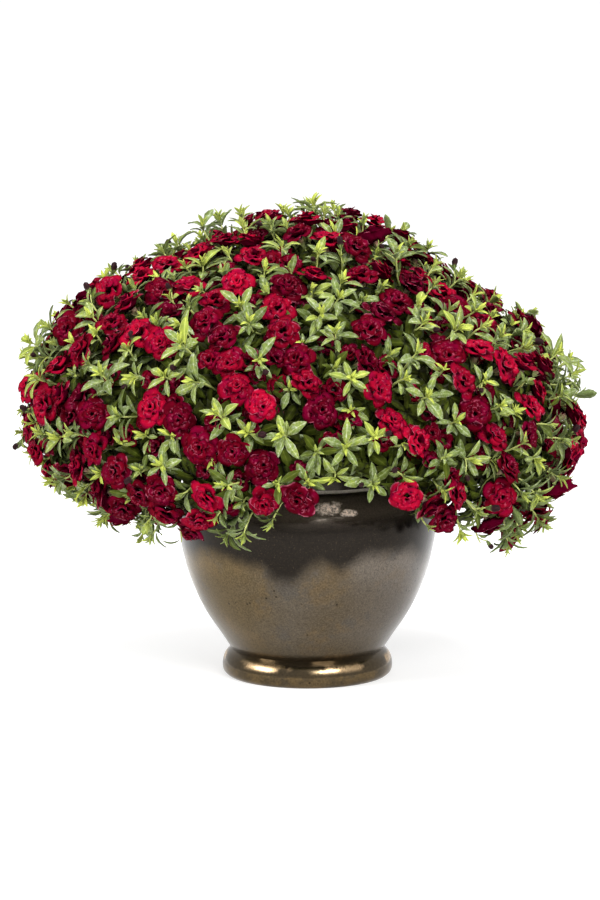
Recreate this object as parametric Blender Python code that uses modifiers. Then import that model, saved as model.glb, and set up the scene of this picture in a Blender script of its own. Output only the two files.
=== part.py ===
"""A calibrachoa with double red blooms, grown as a mound in a bronze-glazed pot.

Metres, +Z up. The origin is the middle of the pot's flat base, and the front of the plant is towards -Y.
The pot and the soil are turned. Each leafy stem rises from its own hole in the soil and fans out to its own
patch of the mound, where rosettes of leaves stand out of its twigs. The blooms stand on the stems in
clusters, in which the petals of neighbours cross.
"""

import bisect
import math
import random

import bmesh
import bpy
from mathutils import Matrix, Vector
from mathutils.bvhtree import BVHTree

SEED = 20

# Pot, as (radius, height) from the base up
POT_BASE_RADIUS = 0.0735
POT_FOOT = ((0.0764, 0.004), (0.0768, 0.011), (0.0740, 0.0185))
POT_CREASE = (0.0690, 0.0236)
POT_BODY = ((0.0780, 0.0375), (0.0940, 0.0620), (0.1070, 0.0920), (0.1145, 0.1220), (0.1168, 0.1430),
            (0.1145, 0.1610), (0.1060, 0.1745), (0.0980, 0.1800))
POT_COLLAR = ((0.0955, 0.1836), (0.0952, 0.1930), (0.0940, 0.1955))
POT_LIP = (0.0895, 0.1955)
POT_INSIDE = ((0.0890, 0.1800), (0.1080, 0.1550), (0.1060, 0.1120), (0.0850, 0.0580), (0.0600, 0.0250),
              (0.0590, 0.0120))
POT_SIDES = 24
SHARP_ANGLE = math.radians(40)
MERGE_DISTANCE = 0.0001
DRAIN_RADIUS = 0.0060
DRAIN_RING = 0.0320
DRAINS = 3
DRAIN_SIDES = 8

# Soil
SOIL_GAP = 0.0006
SOIL_RIM_HEIGHT = 0.1760
SOIL_CROWN_HEIGHT = 0.1790
SOIL_CROWN_SHARE = 0.55
HOLE_DEPTH = 0.0160
HOLE_CLEARANCE = 0.0006
HOLE_SIDES = 6

# Mound: an ellipse of revolution, taller above its widest level than below it
MOUND_RADIUS = 0.247
MOUND_MIDDLE = 0.216
MOUND_RISE = 0.206
MOUND_DROP = 0.094
LUMP_HEIGHT = 0.006
BULGES = ((-90, 64, 0.020, 22), (90, 44, -0.012, 30), (60, 122, 0.026, 22), (-30, 124, 0.008, 22))
CROWN_DIP = 0.014
CROWN_DIP_ANGLE = 36
CROWN_DIP_SPREAD = 18
POLE_RADIUS = 0.020
SKIRT_ANGLE = math.radians(133)
SKIRT_WAVE = math.radians(5)
PARTING_AZIMUTH = math.radians(8)
PARTING_WIDTH = math.radians(17)
PARTING_RISE = math.radians(50)

# Patches of the mound, one for each leafy stem, in bands round it. A band has this many patches and ends at
# this angle from the top, its twigs end in this many columns and rows, and each patch has this many rosettes.
BANDS = (
    {"patches": 1, "end": 22, "columns": 16, "rows": 1, "rosettes": 5},
    {"patches": 4, "end": 52, "columns": 8, "rows": 2, "rosettes": 6},
    {"patches": 8, "end": 82, "columns": 4, "rows": 2, "rosettes": 6},
    {"patches": 8, "end": None, "columns": 4, "rows": 2, "rosettes": 4},
)
BAND_WAVE = math.radians(4)
HOLE_RINGS = (0.000, 0.024, 0.046, 0.067)
PATCH_GAP = 0.0008
NARROWEST_PATCH = 0.3
TWIG_DEPTH = 0.038
TWIG_FAN = 0.036
TWIG_PEAKS = (0.009, 0.019)
PEAK_SHARE = (0.3, 0.7)
STEM_RADIUS = 0.0030
STEM_TIP_RADIUS = 0.0020
STEM_POINTS = 3
STEM_NECK = 0.004
STEM_RISE = 0.085
STEM_PULL = 0.050
STEM_LIFT = 0.012
STEM_SINK = 0.012

# Blooms
CLUSTERS = 35
BLOOMS_PER_CLUSTER = 7
CLUSTER_SPOTS = 200
CLUSTER_WANDER = 0.012
BLOOM_TRIES = 60
CLUSTER_MARGIN = math.radians(7)
BLOOM_MARGIN = math.radians(3)
BLOOM_REACH = 0.072
BLOOM_RADIUS = (0.0152, 0.0180)
BLOOM_STEP = (0.0280, 0.0325)
BLOOM_NEAREST = 0.0270
BLOOM_DEPTH = (0.001, 0.009)
BLOOM_LEAN = 0.50
BLOOM_LIFT = 0.22
LOBES = 5
LOBE_DROOP = 0.0015
INNER_REACH = 0.46
INNER_LIFT = 0.0048
THROAT_LIFT = 0.0012
TRUMPET_DEPTH = 0.024
TRUMPET_LONGEST = 0.055
SEAT_GAP = 0.0005

# Rosettes of leaves
ROSETTE_TRIES = 90
ROSETTE_REACH = 0.085
ROSETTE_SHARE = (0.06, 0.94)
ROSETTE_LEAVES = 5
ROSETTE_DEPTH = (-0.001, 0.010)
ROSETTE_LEAN = 0.35
ROSETTE_SIZE = (0.70, 1.0)
LEAF_LENGTH = (0.022, 0.030)
LEAF_WIDEST = 0.52
LEAF_HALF_WIDTH = 0.0052
LEAF_THICKNESS = 0.0018
LEAF_RISE = (0.15, 0.60)
HUB_RADIUS = 0.0025
HUB_TIP = 0.0060
STALK_SINK = 0.0035
CLEARANCE_SCALE = 1.03

MATERIALS = {
    "bronze_glaze": ((0.105, 0.075, 0.045, 1), 0.30, 0.75),
    "potting_soil": ((0.040, 0.028, 0.020, 1), 0.95, 0.0),
    "leaf_green": ((0.230, 0.340, 0.110, 1), 0.60, 0.0),
    "petal_red": ((0.420, 0.006, 0.030, 1), 0.55, 0.0),
}


def clear_scene():
    for obj in list(bpy.data.objects):
        bpy.data.objects.remove(obj)


def material(name):
    colour, roughness, metallic = MATERIALS[name]
    made = bpy.data.materials.new(name)
    made.use_nodes = True
    shader = made.node_tree.nodes["Principled BSDF"]
    shader.inputs["Base Color"].default_value = colour
    shader.inputs["Roughness"].default_value = roughness
    shader.inputs["Metallic"].default_value = metallic
    return made


def collection(name):
    made = bpy.data.collections.new(name)
    bpy.context.scene.collection.children.link(made)
    return made


def add_mesh(name, points, faces, into):
    """A new object of these points and faces, with its normals pointing out."""
    mesh = bpy.data.meshes.new(name)
    mesh.from_pydata([tuple(p) for p in points], [], faces)
    shape = bmesh.new()
    shape.from_mesh(mesh)
    bmesh.ops.recalc_face_normals(shape, faces=shape.faces)
    shape.to_mesh(mesh)
    shape.free()
    obj = bpy.data.objects.new(name, mesh)
    into.objects.link(obj)
    return obj


def applied(obj):
    """The object with its modifiers worked into its mesh."""
    graph = bpy.context.evaluated_depsgraph_get()
    mesh = bpy.data.meshes.new_from_object(obj.evaluated_get(graph))
    obj.modifiers.clear()
    obj.data = mesh
    return obj


def booleaned(obj, operation, helpers, solver):
    """The object joined with, or cut by, every object of the helper collection, which is then removed."""
    modifier = obj.modifiers.new(operation.lower(), "BOOLEAN")
    modifier.operation = operation
    modifier.operand_type = "COLLECTION"
    modifier.collection = helpers
    modifier.solver = solver
    applied(obj)
    for helper in list(helpers.objects):
        bpy.data.objects.remove(helper)
    bpy.data.collections.remove(helpers)
    return obj


def turned(name, profile, into):
    """A solid of revolution about Z. The profile starts on the axis at the top or inside and ends on it below."""
    mesh = bpy.data.meshes.new(name)
    mesh.from_pydata([(r, 0, z) for r, z in profile], [(i, i + 1) for i in range(len(profile) - 1)], [])
    obj = bpy.data.objects.new(name, mesh)
    into.objects.link(obj)
    screw = obj.modifiers.new("turn", "SCREW")
    screw.axis = "Z"
    screw.steps = POT_SIDES
    screw.render_steps = POT_SIDES
    screw.use_merge_vertices = True
    screw.merge_threshold = MERGE_DISTANCE
    return applied(obj)


def shade(obj, finish):
    """Gives a turned piece its material, smooth but for its rims."""
    obj.data.materials.append(finish)
    obj.data.shade_smooth()
    obj.data.set_sharp_from_angle(angle=SHARP_ANGLE)


def upright_cylinder(place, radius, sides, low, high, into):
    """A closed cylinder along Z, from the height low to the height high."""
    shape = bmesh.new()
    middle = Matrix.Translation((place[0], place[1], (low + high) / 2))
    bmesh.ops.create_cone(shape, cap_ends=True, segments=sides, radius1=radius, radius2=radius,
                          depth=high - low, matrix=middle)
    mesh = bpy.data.meshes.new("cutter")
    shape.to_mesh(mesh)
    shape.free()
    obj = bpy.data.objects.new("cutter", mesh)
    into.objects.link(obj)
    return obj


def make_pot(into, finish):
    """The turned pot, with drain holes round the middle of its flat base."""
    outside = [(POT_BASE_RADIUS, 0), *POT_FOOT, POT_CREASE, *POT_BODY, *POT_COLLAR, POT_LIP]
    floor = POT_INSIDE[-1][1]
    profile = [(0, 0), *outside, *POT_INSIDE, (0, floor)][::-1]
    pot = turned("pot", profile, into)
    cutters = collection("drain_cutters")
    for k in range(DRAINS):
        angle = math.tau * k / DRAINS
        place = DRAIN_RING * math.cos(angle), DRAIN_RING * math.sin(angle)
        upright_cylinder(place, DRAIN_RADIUS, DRAIN_SIDES, -floor, 2 * floor, cutters)
    booleaned(pot, "DIFFERENCE", cutters, "EXACT")
    shade(pot, finish)


def make_soil(into, finish, patches):
    """The potting soil that fills the pot, with a plain hole for each stem."""
    sides = [(r - SOIL_GAP, z) for r, z in POT_INSIDE[1:-1]]
    neck = POT_INSIDE[0][0] - SOIL_GAP
    bottom = POT_INSIDE[-1][0] - SOIL_GAP, POT_INSIDE[-1][1] + SOIL_GAP
    profile = [(0, SOIL_CROWN_HEIGHT), (neck * SOIL_CROWN_SHARE, SOIL_CROWN_HEIGHT), (neck, SOIL_RIM_HEIGHT),
               *sides, bottom, (0, bottom[1])]
    soil = turned("soil", profile, into)
    cutters = collection("hole_cutters")
    radius = STEM_RADIUS + HOLE_CLEARANCE
    low, high = SOIL_CROWN_HEIGHT - HOLE_DEPTH, SOIL_CROWN_HEIGHT + HOLE_DEPTH
    for patch in patches:
        upright_cylinder(patch.hole, radius, HOLE_SIDES, low, high, cutters)
    booleaned(soil, "DIFFERENCE", cutters, "EXACT")
    shade(soil, finish)


# Shape of the mound


def wrapped(angle):
    return (angle + math.pi) % math.tau - math.pi


def lowest_angle(azimuth):
    """How far from the mound's top its skirt hangs at this azimuth. It parts above the rim at the front."""
    away = wrapped(azimuth - PARTING_AZIMUTH) / PARTING_WIDTH
    return SKIRT_ANGLE + SKIRT_WAVE * math.sin(5 * azimuth + 1) - PARTING_RISE * math.exp(-away * away)


def mound_rise(theta):
    return MOUND_RISE if theta < math.pi / 2 else MOUND_DROP


def mound_normal(theta, azimuth):
    out = math.sin(theta) / MOUND_RADIUS
    up = math.cos(theta) / mound_rise(theta)
    return Vector((out * math.sin(azimuth), -out * math.cos(azimuth), up)).normalized()


def swell(theta, azimuth):
    """How far the mound stands out of its ellipse: a dip round its crown, a few bulges, and low lumps all over."""
    out = LUMP_HEIGHT * math.sin(3 * azimuth + 1) * math.sin(4 * theta)
    angle = math.degrees(theta)
    out -= CROWN_DIP * math.exp(-(((angle - CROWN_DIP_ANGLE) / CROWN_DIP_SPREAD)**2))
    for bulge_azimuth, bulge_angle, height, spread in BULGES:
        across = math.degrees(wrapped(azimuth - math.radians(bulge_azimuth))) * math.sin(theta)
        down = angle - bulge_angle
        out += height * math.exp(-(across * across + down * down) / spread**2)
    return out


def mound_point(theta, azimuth, depth=0.0):
    """The point of the mound's outer skin at the angle theta from its top, moved in by depth."""
    radius = MOUND_RADIUS * math.sin(theta)
    height = MOUND_MIDDLE + mound_rise(theta) * math.cos(theta)
    on_ellipse = Vector((radius * math.sin(azimuth), -radius * math.cos(azimuth), height))
    return on_ellipse + mound_normal(theta, azimuth) * (swell(theta, azimuth) - depth)


def step_along(theta, azimuth, distance, heading):
    """The angles reached by going this far over the mound. Heading 0 goes down, and a quarter turn goes round."""
    radius = max(MOUND_RADIUS * math.sin(theta), POLE_RADIUS)
    down = math.hypot(MOUND_RADIUS * math.cos(theta), mound_rise(theta) * math.sin(theta))
    return (abs(theta + distance * math.cos(heading) / down),
            azimuth + distance * math.sin(heading) / radius)


def area_table():
    """The mound's area above each whole degree of theta, as a share of all of it."""
    sums = [0.0]
    for degree in range(round(math.degrees(SKIRT_ANGLE))):
        theta = math.radians(degree + 0.5)
        down = math.hypot(MOUND_RADIUS * math.cos(theta), mound_rise(theta) * math.sin(theta))
        sums.append(sums[-1] + math.sin(theta) * down)
    return [s / sums[-1] for s in sums]


class Patch:
    """The part of the mound that one leafy stem covers."""

    def __init__(self, band, number):
        self.band = band
        self.layout = BANDS[band]
        self.width = math.tau / self.layout["patches"]
        self.start = self.width * (number + 0.5 * (band % 2))
        middle = self.start + self.width / 2
        ring = HOLE_RINGS[band]
        self.hole = ring * math.sin(middle), -ring * math.cos(middle)

    def place(self, across, down):
        """(theta, azimuth) at these shares of the way across and down the patch, clear of its neighbours."""
        azimuth = self.start + self.width * across
        top = band_end(self.band - 1, azimuth)
        bottom = band_end(self.band, azimuth)
        gap = PATCH_GAP / MOUND_RADIUS
        theta = top + gap + (bottom - top - 2 * gap) * down
        side_gap = gap / max(math.sin(theta), NARROWEST_PATCH) * (1 - 2 * across)
        return theta, azimuth + side_gap

    def centre(self):
        return self.place(0.5, 0.5) if self.band else (0.0, 0.0)


def band_end(band, azimuth):
    """The angle from the top where a band ends, which waves round the mound."""
    if band < 0:
        return 0.0
    end = BANDS[band]["end"]
    if end is None:
        return lowest_angle(azimuth)
    return math.radians(end) + BAND_WAVE * math.sin(3 * azimuth + band)


def make_patches():
    return [Patch(band, number) for band, layout in enumerate(BANDS) for number in range(layout["patches"])]


# Twigs: the tangle under each patch, which fans out from its stem


def twig_mesh(patch, dice):
    """(points, faces) of a fan from the end of the stem out to a skin of peaks under the leaves."""
    columns, rows = patch.layout["columns"], patch.layout["rows"]
    crown = patch.band == 0
    points, faces, grid = [], [], {}
    for row in range(rows + 1):
        for column in range(columns + 1):
            grid[row, column] = len(points)
            points.append(mound_point(*patch.place(column / columns, row / rows), TWIG_DEPTH))
    if crown:
        # The crown closes on itself, and its first row is one point.
        grid.update({(0, column): 0 for column in range(columns + 1)})
        grid[1, columns] = grid[1, 0]
    for row in range(rows):
        for column in range(columns):
            around = (row, column), (row, column + 1), (row + 1, column + 1), (row + 1, column)
            corners = list(dict.fromkeys(grid[corner] for corner in around))
            across = (column + dice.uniform(*PEAK_SHARE)) / columns
            down = (row + dice.uniform(*PEAK_SHARE)) / rows
            lift = dice.uniform(*TWIG_PEAKS)
            faces += [(a, b, len(points)) for a, b in zip(corners, corners[1:] + corners[:1])]
            points.append(mound_point(*patch.place(across, down), TWIG_DEPTH - lift))
    edge = [grid[rows, column] for column in range(columns, 0, -1)]
    if not crown:
        edge += [grid[row, 0] for row in range(rows, 0, -1)]
        edge += [grid[0, column] for column in range(columns)]
        edge += [grid[row, columns] for row in range(rows)]
    root = len(points)
    points.append(mound_point(*patch.centre(), TWIG_DEPTH + TWIG_FAN))
    faces += [(a, b, root) for a, b in zip(edge, edge[1:] + edge[:1])]
    return drop_unused(points, faces)


def drop_unused(points, faces):
    used = sorted({i for face in faces for i in face})
    index = {old: new for new, old in enumerate(used)}
    return [points[i] for i in used], [tuple(index[i] for i in face) for face in faces]


def stem_line(patch):
    """The points of a stem: straight up out of its hole, then over to the root of its twigs."""
    start = Vector((*patch.hole, SOIL_CROWN_HEIGHT - HOLE_DEPTH + HOLE_CLEARANCE))
    top = Vector((*patch.hole, SOIL_CROWN_HEIGHT + STEM_NECK))
    theta, azimuth = patch.centre()
    normal = mound_normal(theta, azimuth)
    end = mound_point(theta, azimuth, TWIG_DEPTH + TWIG_FAN)
    span = (end - top).length
    rise = Vector((0, 0, min(STEM_RISE, span / 2)))
    pull = end - normal * min(STEM_PULL, span / 2) + Vector((0, 0, STEM_LIFT * patch.band))
    line = [start]
    for i in range(STEM_POINTS):
        t = i / (STEM_POINTS - 1)
        line.append((1 - t) ** 3 * top + 3 * (1 - t) ** 2 * t * (top + rise) + 3 * (1 - t) * t * t * pull
                    + t**3 * end)
    line.append(end + normal * STEM_SINK)
    return line


def add_stem(patch, into):
    """A tapered four-sided stem, as a closed mesh."""
    line = stem_line(patch)
    curve = bpy.data.curves.new("stem", "CURVE")
    curve.dimensions = "3D"
    curve.bevel_depth = 1.0
    curve.bevel_resolution = 0
    curve.use_fill_caps = True
    spline = curve.splines.new("POLY")
    spline.points.add(len(line) - 1)
    for i, (point, place) in enumerate(zip(spline.points, line)):
        point.co = (*place, 1)
        share = i / (len(line) - 1)
        point.radius = STEM_RADIUS + (STEM_TIP_RADIUS - STEM_RADIUS) * share
    guide = bpy.data.objects.new("stem_guide", curve)
    into.objects.link(guide)
    graph = bpy.context.evaluated_depsgraph_get()
    mesh = bpy.data.meshes.new_from_object(guide.evaluated_get(graph))
    bpy.data.objects.remove(guide)
    shape = bmesh.new()
    shape.from_mesh(mesh)
    bmesh.ops.remove_doubles(shape, verts=shape.verts, dist=MERGE_DISTANCE)
    bmesh.ops.recalc_face_normals(shape, faces=shape.faces)
    shape.to_mesh(mesh)
    shape.free()
    stem = bpy.data.objects.new("stem", mesh)
    into.objects.link(stem)
    return stem


# Blooms


def upright_frame(place, facing, spin):
    """The matrix that stands a shape modelled on +Z at a place, facing a way."""
    turn = facing.to_track_quat("Z", "Y").to_matrix().to_4x4()
    return Matrix.Translation(place) @ turn @ Matrix.Rotation(spin, 4, "Z")


def ring_point(reach, angle, height):
    return Vector((reach * math.cos(angle), reach * math.sin(angle), height))


class Bloom:
    """One double bloom. Its middle is in the plane of its lobes, and its trumpet's foot is depth behind."""

    def __init__(self, theta, azimuth, dice):
        self.theta = theta
        self.azimuth = azimuth
        self.radius = dice.uniform(*BLOOM_RADIUS)
        self.place = mound_point(theta, azimuth, dice.uniform(*BLOOM_DEPTH))
        lean = Vector([dice.uniform(-BLOOM_LEAN, BLOOM_LEAN) for _ in range(3)])
        lift = Vector((0, 0, BLOOM_LIFT * math.sin(theta)))
        self.facing = (mound_normal(theta, azimuth) + lean + lift).normalized()
        self.spin = dice.uniform(0, math.tau / LOBES)
        self.depth = TRUMPET_DEPTH

    def seat(self, twigs):
        """Ends the trumpet on the twigs under it, where there are any."""
        hit, _, _, distance = twigs.ray_cast(self.place, -self.facing, TRUMPET_LONGEST)
        if hit is not None:
            self.depth = distance - SEAT_GAP

    def mesh(self, grown=1.0):
        """(points, faces): the ring of lobes, the raised inner petals round the throat, and the trumpet."""
        half = math.pi / LOBES
        points = [ring_point(self.radius, 2 * k * half, -LOBE_DROOP) for k in range(LOBES)]
        points += [ring_point(self.radius * INNER_REACH, (2 * k + 1) * half, INNER_LIFT) for k in range(LOBES)]
        points = [p * grown for p in points] + [Vector((0, 0, THROAT_LIFT)), Vector((0, 0, -self.depth))]
        throat, foot = 2 * LOBES, 2 * LOBES + 1
        faces = []
        for k in range(LOBES):
            after = (k + 1) % LOBES
            inner, inner_after = LOBES + k, LOBES + after
            faces += [(k, after, inner), (after, inner_after, inner)]
            faces += [(inner, inner_after, throat), (after, k, foot)]
        frame = upright_frame(self.place, self.facing, self.spin)
        return [frame @ p for p in points], faces


def tree_of(points, faces):
    return BVHTree.FromPolygons(points, faces)


def crosses(tree, place, others, reach):
    """True if the tree's surface crosses that of any of the others, given as (place, tree) pairs."""
    return any((place - there).length < reach and tree.overlap(other) for there, other in others)


def room_at(place, placed, beside=None):
    """How far this place is from the nearest of those placed, leaving out the one it stands beside."""
    return min(((place - there).length for there, _ in placed if there is not beside), default=math.inf)


def barest_spot(areas, placed, dice):
    """The spot with the most room round it, of some drawn evenly over the mound's area."""
    best, most_room = None, 0.0
    for _ in range(CLUSTER_SPOTS):
        azimuth = dice.uniform(0, math.tau)
        theta = math.radians(bisect.bisect_left(areas, dice.random()))
        theta = min(theta, lowest_angle(azimuth) - CLUSTER_MARGIN)
        room = room_at(mound_point(theta, azimuth), placed)
        if room > most_room:
            best, most_room = (theta, azimuth), room
    return best


def next_bloom(spot, blooms, trees, twigs, placed, dice):
    """The bloom with the most room, of some beside those of the cluster, that crosses one of them and no other."""
    best, most_room = None, 0.0
    for _ in range(BLOOM_TRIES):
        near = dice.choice(blooms) if blooms else None
        if near:
            theta, azimuth = step_along(near.theta, near.azimuth, dice.uniform(*BLOOM_STEP), dice.uniform(0, math.tau))
        else:
            theta, azimuth = step_along(*spot, dice.uniform(0, CLUSTER_WANDER), dice.uniform(0, math.tau))
        bloom = Bloom(theta, azimuth, dice)
        if bloom.theta > lowest_angle(bloom.azimuth) - BLOOM_MARGIN:
            continue
        if room_at(bloom.place, trees) < BLOOM_NEAREST:
            continue
        room = room_at(bloom.place, placed + trees, near.place if near else None)
        if room <= most_room:
            continue
        bloom.seat(twigs)
        wide = tree_of(*bloom.mesh(CLEARANCE_SCALE))
        if wide.overlap(twigs) or crosses(wide, bloom.place, placed, BLOOM_REACH):
            continue
        if near and not crosses(tree_of(*bloom.mesh()), bloom.place, trees, BLOOM_REACH):
            continue
        best, most_room = bloom, room
    return best


def grow_clusters(twigs, placed, dice):
    """Clusters of blooms, spread over the mound so that no part of it stays bare."""
    areas = area_table()
    clusters = []
    for _ in range(CLUSTERS):
        spot = barest_spot(areas, placed, dice)
        blooms, trees = [], []
        for _ in range(BLOOMS_PER_CLUSTER):
            bloom = next_bloom(spot, blooms, trees, twigs, placed, dice)
            if bloom:
                blooms.append(bloom)
                trees.append((bloom.place, tree_of(*bloom.mesh())))
        clusters.append(blooms)
        placed += trees
    return clusters


# Rosettes


class Rosette:
    """A whorl of leaves on a stalk, as at the tip of a shoot."""

    def __init__(self, theta, azimuth, dice):
        self.place = mound_point(theta, azimuth, dice.uniform(*ROSETTE_DEPTH))
        lean = Vector([dice.uniform(-ROSETTE_LEAN, ROSETTE_LEAN) for _ in range(3)])
        self.facing = (mound_normal(theta, azimuth) + lean).normalized()
        self.spin = dice.uniform(0, math.tau)
        self.stalk = TWIG_DEPTH
        size = dice.uniform(*ROSETTE_SIZE)
        self.leaves = [(size * dice.uniform(*LEAF_LENGTH), dice.uniform(*LEAF_RISE)) for _ in range(ROSETTE_LEAVES)]

    def seat(self, twigs):
        """Sinks the stalk in the stem's own twigs. False if they don't lie under it."""
        hit, _, _, distance = twigs.ray_cast(self.place, -self.facing, 2 * TWIG_DEPTH)
        if hit is None:
            return False
        self.stalk = distance + STALK_SINK
        return True

    def mesh(self, scale=1.0):
        """(points, faces): leaves with a ridge above and flat below, which meet in one hub on a stalk."""
        count = ROSETTE_LEAVES
        half = math.pi / count
        points = [ring_point(HUB_RADIUS, (2 * i - 1) * half, 0) for i in range(count)]
        points += [Vector((0, 0, HUB_TIP)), Vector((0, 0, -self.stalk))]
        top, foot = count, count + 1
        faces = []
        for i, (length, rise) in enumerate(self.leaves):
            angle = 2 * i * half
            tip_height = length * rise
            reach = LEAF_WIDEST * length
            ridge = HUB_TIP + (tip_height - HUB_TIP) * LEAF_WIDEST
            side = math.atan2(LEAF_HALF_WIDTH, reach)
            before, after = i, (i + 1) % count
            left, right, tip = range(len(points), len(points) + 3)
            points += [ring_point(reach, angle - side, ridge - LEAF_THICKNESS),
                       ring_point(reach, angle + side, ridge - LEAF_THICKNESS),
                       ring_point(length, angle, tip_height)]
            faces += [(top, before, left), (top, left, tip), (top, tip, right), (top, right, after)]
            faces += [(left, before, right), (before, after, right), (tip, left, right), (after, before, foot)]
        frame = upright_frame(self.place, self.facing, self.spin)
        return [frame @ (p * scale) for p in points], faces


def grow_rosettes(patch, own_twigs, other_twigs, placed, dice):
    """Rosettes over one patch, each in the barest spot found that is clear of all that is there."""
    rosettes = []
    for _ in range(patch.layout["rosettes"]):
        best, most_room = None, 0.0
        for _ in range(ROSETTE_TRIES):
            spot = patch.place(dice.uniform(*ROSETTE_SHARE), dice.uniform(*ROSETTE_SHARE))
            rosette = Rosette(*spot, dice)
            room = room_at(rosette.place, placed)
            if room < most_room or not rosette.seat(own_twigs):
                continue
            wide = tree_of(*rosette.mesh(CLEARANCE_SCALE))
            if not wide.overlap(other_twigs) and not crosses(wide, rosette.place, placed, ROSETTE_REACH):
                best, most_room = rosette, room
        if best:
            rosettes.append(best)
            placed.append((best.place, tree_of(*best.mesh())))
    return rosettes


def merged_tree(meshes):
    """One search tree of several (points, faces) meshes."""
    points, faces = [], []
    for more_points, more_faces in meshes:
        faces += [tuple(i + len(points) for i in face) for face in more_faces]
        points += more_points
    return tree_of(points, faces)


def grow_plant():
    """(patches, twig meshes, bloom clusters, rosettes of each patch), the same each run."""
    dice = random.Random(SEED)
    patches = make_patches()
    twigs = [twig_mesh(patch, dice) for patch in patches]
    placed = []
    clusters = grow_clusters(merged_tree(twigs), placed, dice)
    rosettes = []
    for i, patch in enumerate(patches):
        others = merged_tree(twigs[:i] + twigs[i + 1:])
        rosettes.append(grow_rosettes(patch, tree_of(*twigs[i]), others, placed, dice))
    return patches, twigs, clusters, rosettes


def make_leafy_stem(number, patch, twigs, rosettes, into, finish):
    """One stem with its twigs and rosettes, joined in one solid."""
    name = f"leafy_stem_{number + 1:02d}"
    body = add_mesh(name, *twigs, into)
    helpers = collection(name + "_parts")
    add_stem(patch, helpers)
    for rosette in rosettes:
        add_mesh("rosette", *rosette.mesh(), helpers)
    booleaned(body, "UNION", helpers, "MANIFOLD")
    body.data.materials.append(finish)


def make_bloom_cluster(number, blooms, into, finish):
    """The blooms of one cluster, joined where their petals cross."""
    name = f"blooms_{number + 1:02d}"
    body = add_mesh(name, *blooms[0].mesh(), into)
    helpers = collection(name + "_parts")
    for bloom in blooms[1:]:
        add_mesh("bloom", *bloom.mesh(), helpers)
    booleaned(body, "UNION", helpers, "MANIFOLD")
    body.data.materials.append(finish)


def main():
    clear_scene()
    finishes = {name: material(name) for name in MATERIALS}
    whole = collection("calibrachoa")
    patches, twigs, clusters, rosettes = grow_plant()
    make_pot(whole, finishes["bronze_glaze"])
    make_soil(whole, finishes["potting_soil"], patches)
    for number, patch in enumerate(patches):
        make_leafy_stem(number, patch, twigs[number], rosettes[number], whole, finishes["leaf_green"])
    for number, blooms in enumerate(clusters):
        make_bloom_cluster(number, blooms, whole, finishes["petal_red"])


main()
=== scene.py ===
"""The looks of a calibrachoa with double red blooms in a bronze-glazed pot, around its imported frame.

Metres, +Z up, with the front of the plant towards -Y. The layout part repeats the rule that sets out the
plant's patches, blooms and rosettes, so each fine piece stands where its solid stands. Geometry Nodes then
stand ruffled blooms, leaves, calyces, buds and crumbs on points, and run stalks along paths.
"""

import random
from bisect import bisect_left
from collections import namedtuple
from itertools import product
from math import atan2, cos, degrees, exp, hypot, inf, pi, radians, sin, sqrt, tau

import bpy
from mathutils import Euler, Matrix, Vector, kdtree, noise
from mathutils.bvhtree import BVHTree


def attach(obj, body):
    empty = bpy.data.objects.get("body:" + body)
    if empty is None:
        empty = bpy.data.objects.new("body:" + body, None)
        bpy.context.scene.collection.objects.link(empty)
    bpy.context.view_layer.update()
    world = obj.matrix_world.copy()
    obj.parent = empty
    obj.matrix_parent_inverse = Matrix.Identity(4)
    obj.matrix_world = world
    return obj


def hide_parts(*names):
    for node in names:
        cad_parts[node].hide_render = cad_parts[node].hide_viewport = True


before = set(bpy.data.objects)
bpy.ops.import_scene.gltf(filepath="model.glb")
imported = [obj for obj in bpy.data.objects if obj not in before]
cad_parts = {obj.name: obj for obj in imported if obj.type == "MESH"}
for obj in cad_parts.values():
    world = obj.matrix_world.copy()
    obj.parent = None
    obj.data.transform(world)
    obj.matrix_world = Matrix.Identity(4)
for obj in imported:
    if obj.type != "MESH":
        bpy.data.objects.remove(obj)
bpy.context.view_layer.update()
SEED = 20

# Pot, as (radius, height) from the base up, and its soil. Each size of the soil's lumps is
# (lumps a metre, slice of the noise, share).
POT_BASE_RADIUS = 0.0735
POT_SOLE = ((POT_BASE_RADIUS - 0.0015, 0.0), (POT_BASE_RADIUS, 0.0004))
POT_FOOT = ((0.0764, 0.004), (0.0768, 0.011), (0.0740, 0.0185))
POT_CREASE = (0.0690, 0.0236)
POT_BODY = ((0.0780, 0.0375), (0.0940, 0.0620), (0.1070, 0.0920), (0.1145, 0.1220), (0.1168, 0.1430),
            (0.1145, 0.1610), (0.1060, 0.1745), (0.0980, 0.1800))
POT_RIDGE = ((0.0966, 0.1812), (0.0957, 0.1822))
POT_COLLAR = ((0.0955, 0.1836), (0.0952, 0.1930), (0.0940, 0.1955))
POT_LIP = ((0.0918, 0.1962), (0.0895, 0.1955))
POT_INSIDE = ((0.0890, 0.1800), (0.1080, 0.1550), (0.1060, 0.1120), (0.0850, 0.0580), (0.0600, 0.0250),
              (0.0590, 0.0120))
POT_STEPS = 144
POT_SMOOTHING = 4
LIP_SMOOTHING = 3
SHARP_EDGE = radians(50)
DRAIN_RADIUS = 0.0060
DRAIN_RING = 0.0320
DRAINS = 3
DRAIN_SIDES = 24
SOIL_CROWN_HEIGHT = 0.1790
SOIL_EDGE_HEIGHT = 0.1760
SOIL_FLAT_SHARE = 0.6
SOIL_GAP = 0.0006
SOIL_RINGS = 14
SOIL_SIDES = 60
SOIL_ROUGHNESS = 0.0028
SOIL_LUMPS = ((90, 2, 1.0), (260, 7, 0.5))
SOIL_TOP_SPARE = 0.001
SOIL_EDGE_MARGIN = 0.002
HOLE_DEPTH = 0.0160
HOLE_CLEARANCE = 0.0006
CRUMBS = 700
CRUMB_KINDS = 3
CRUMB_SIZE = (0.0012, 0.0038)
CRUMB_REACH = (0.35, 0.55)
CRUMB_MARGIN = 0.004
CRUMB_SINK = 0.0005
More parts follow.
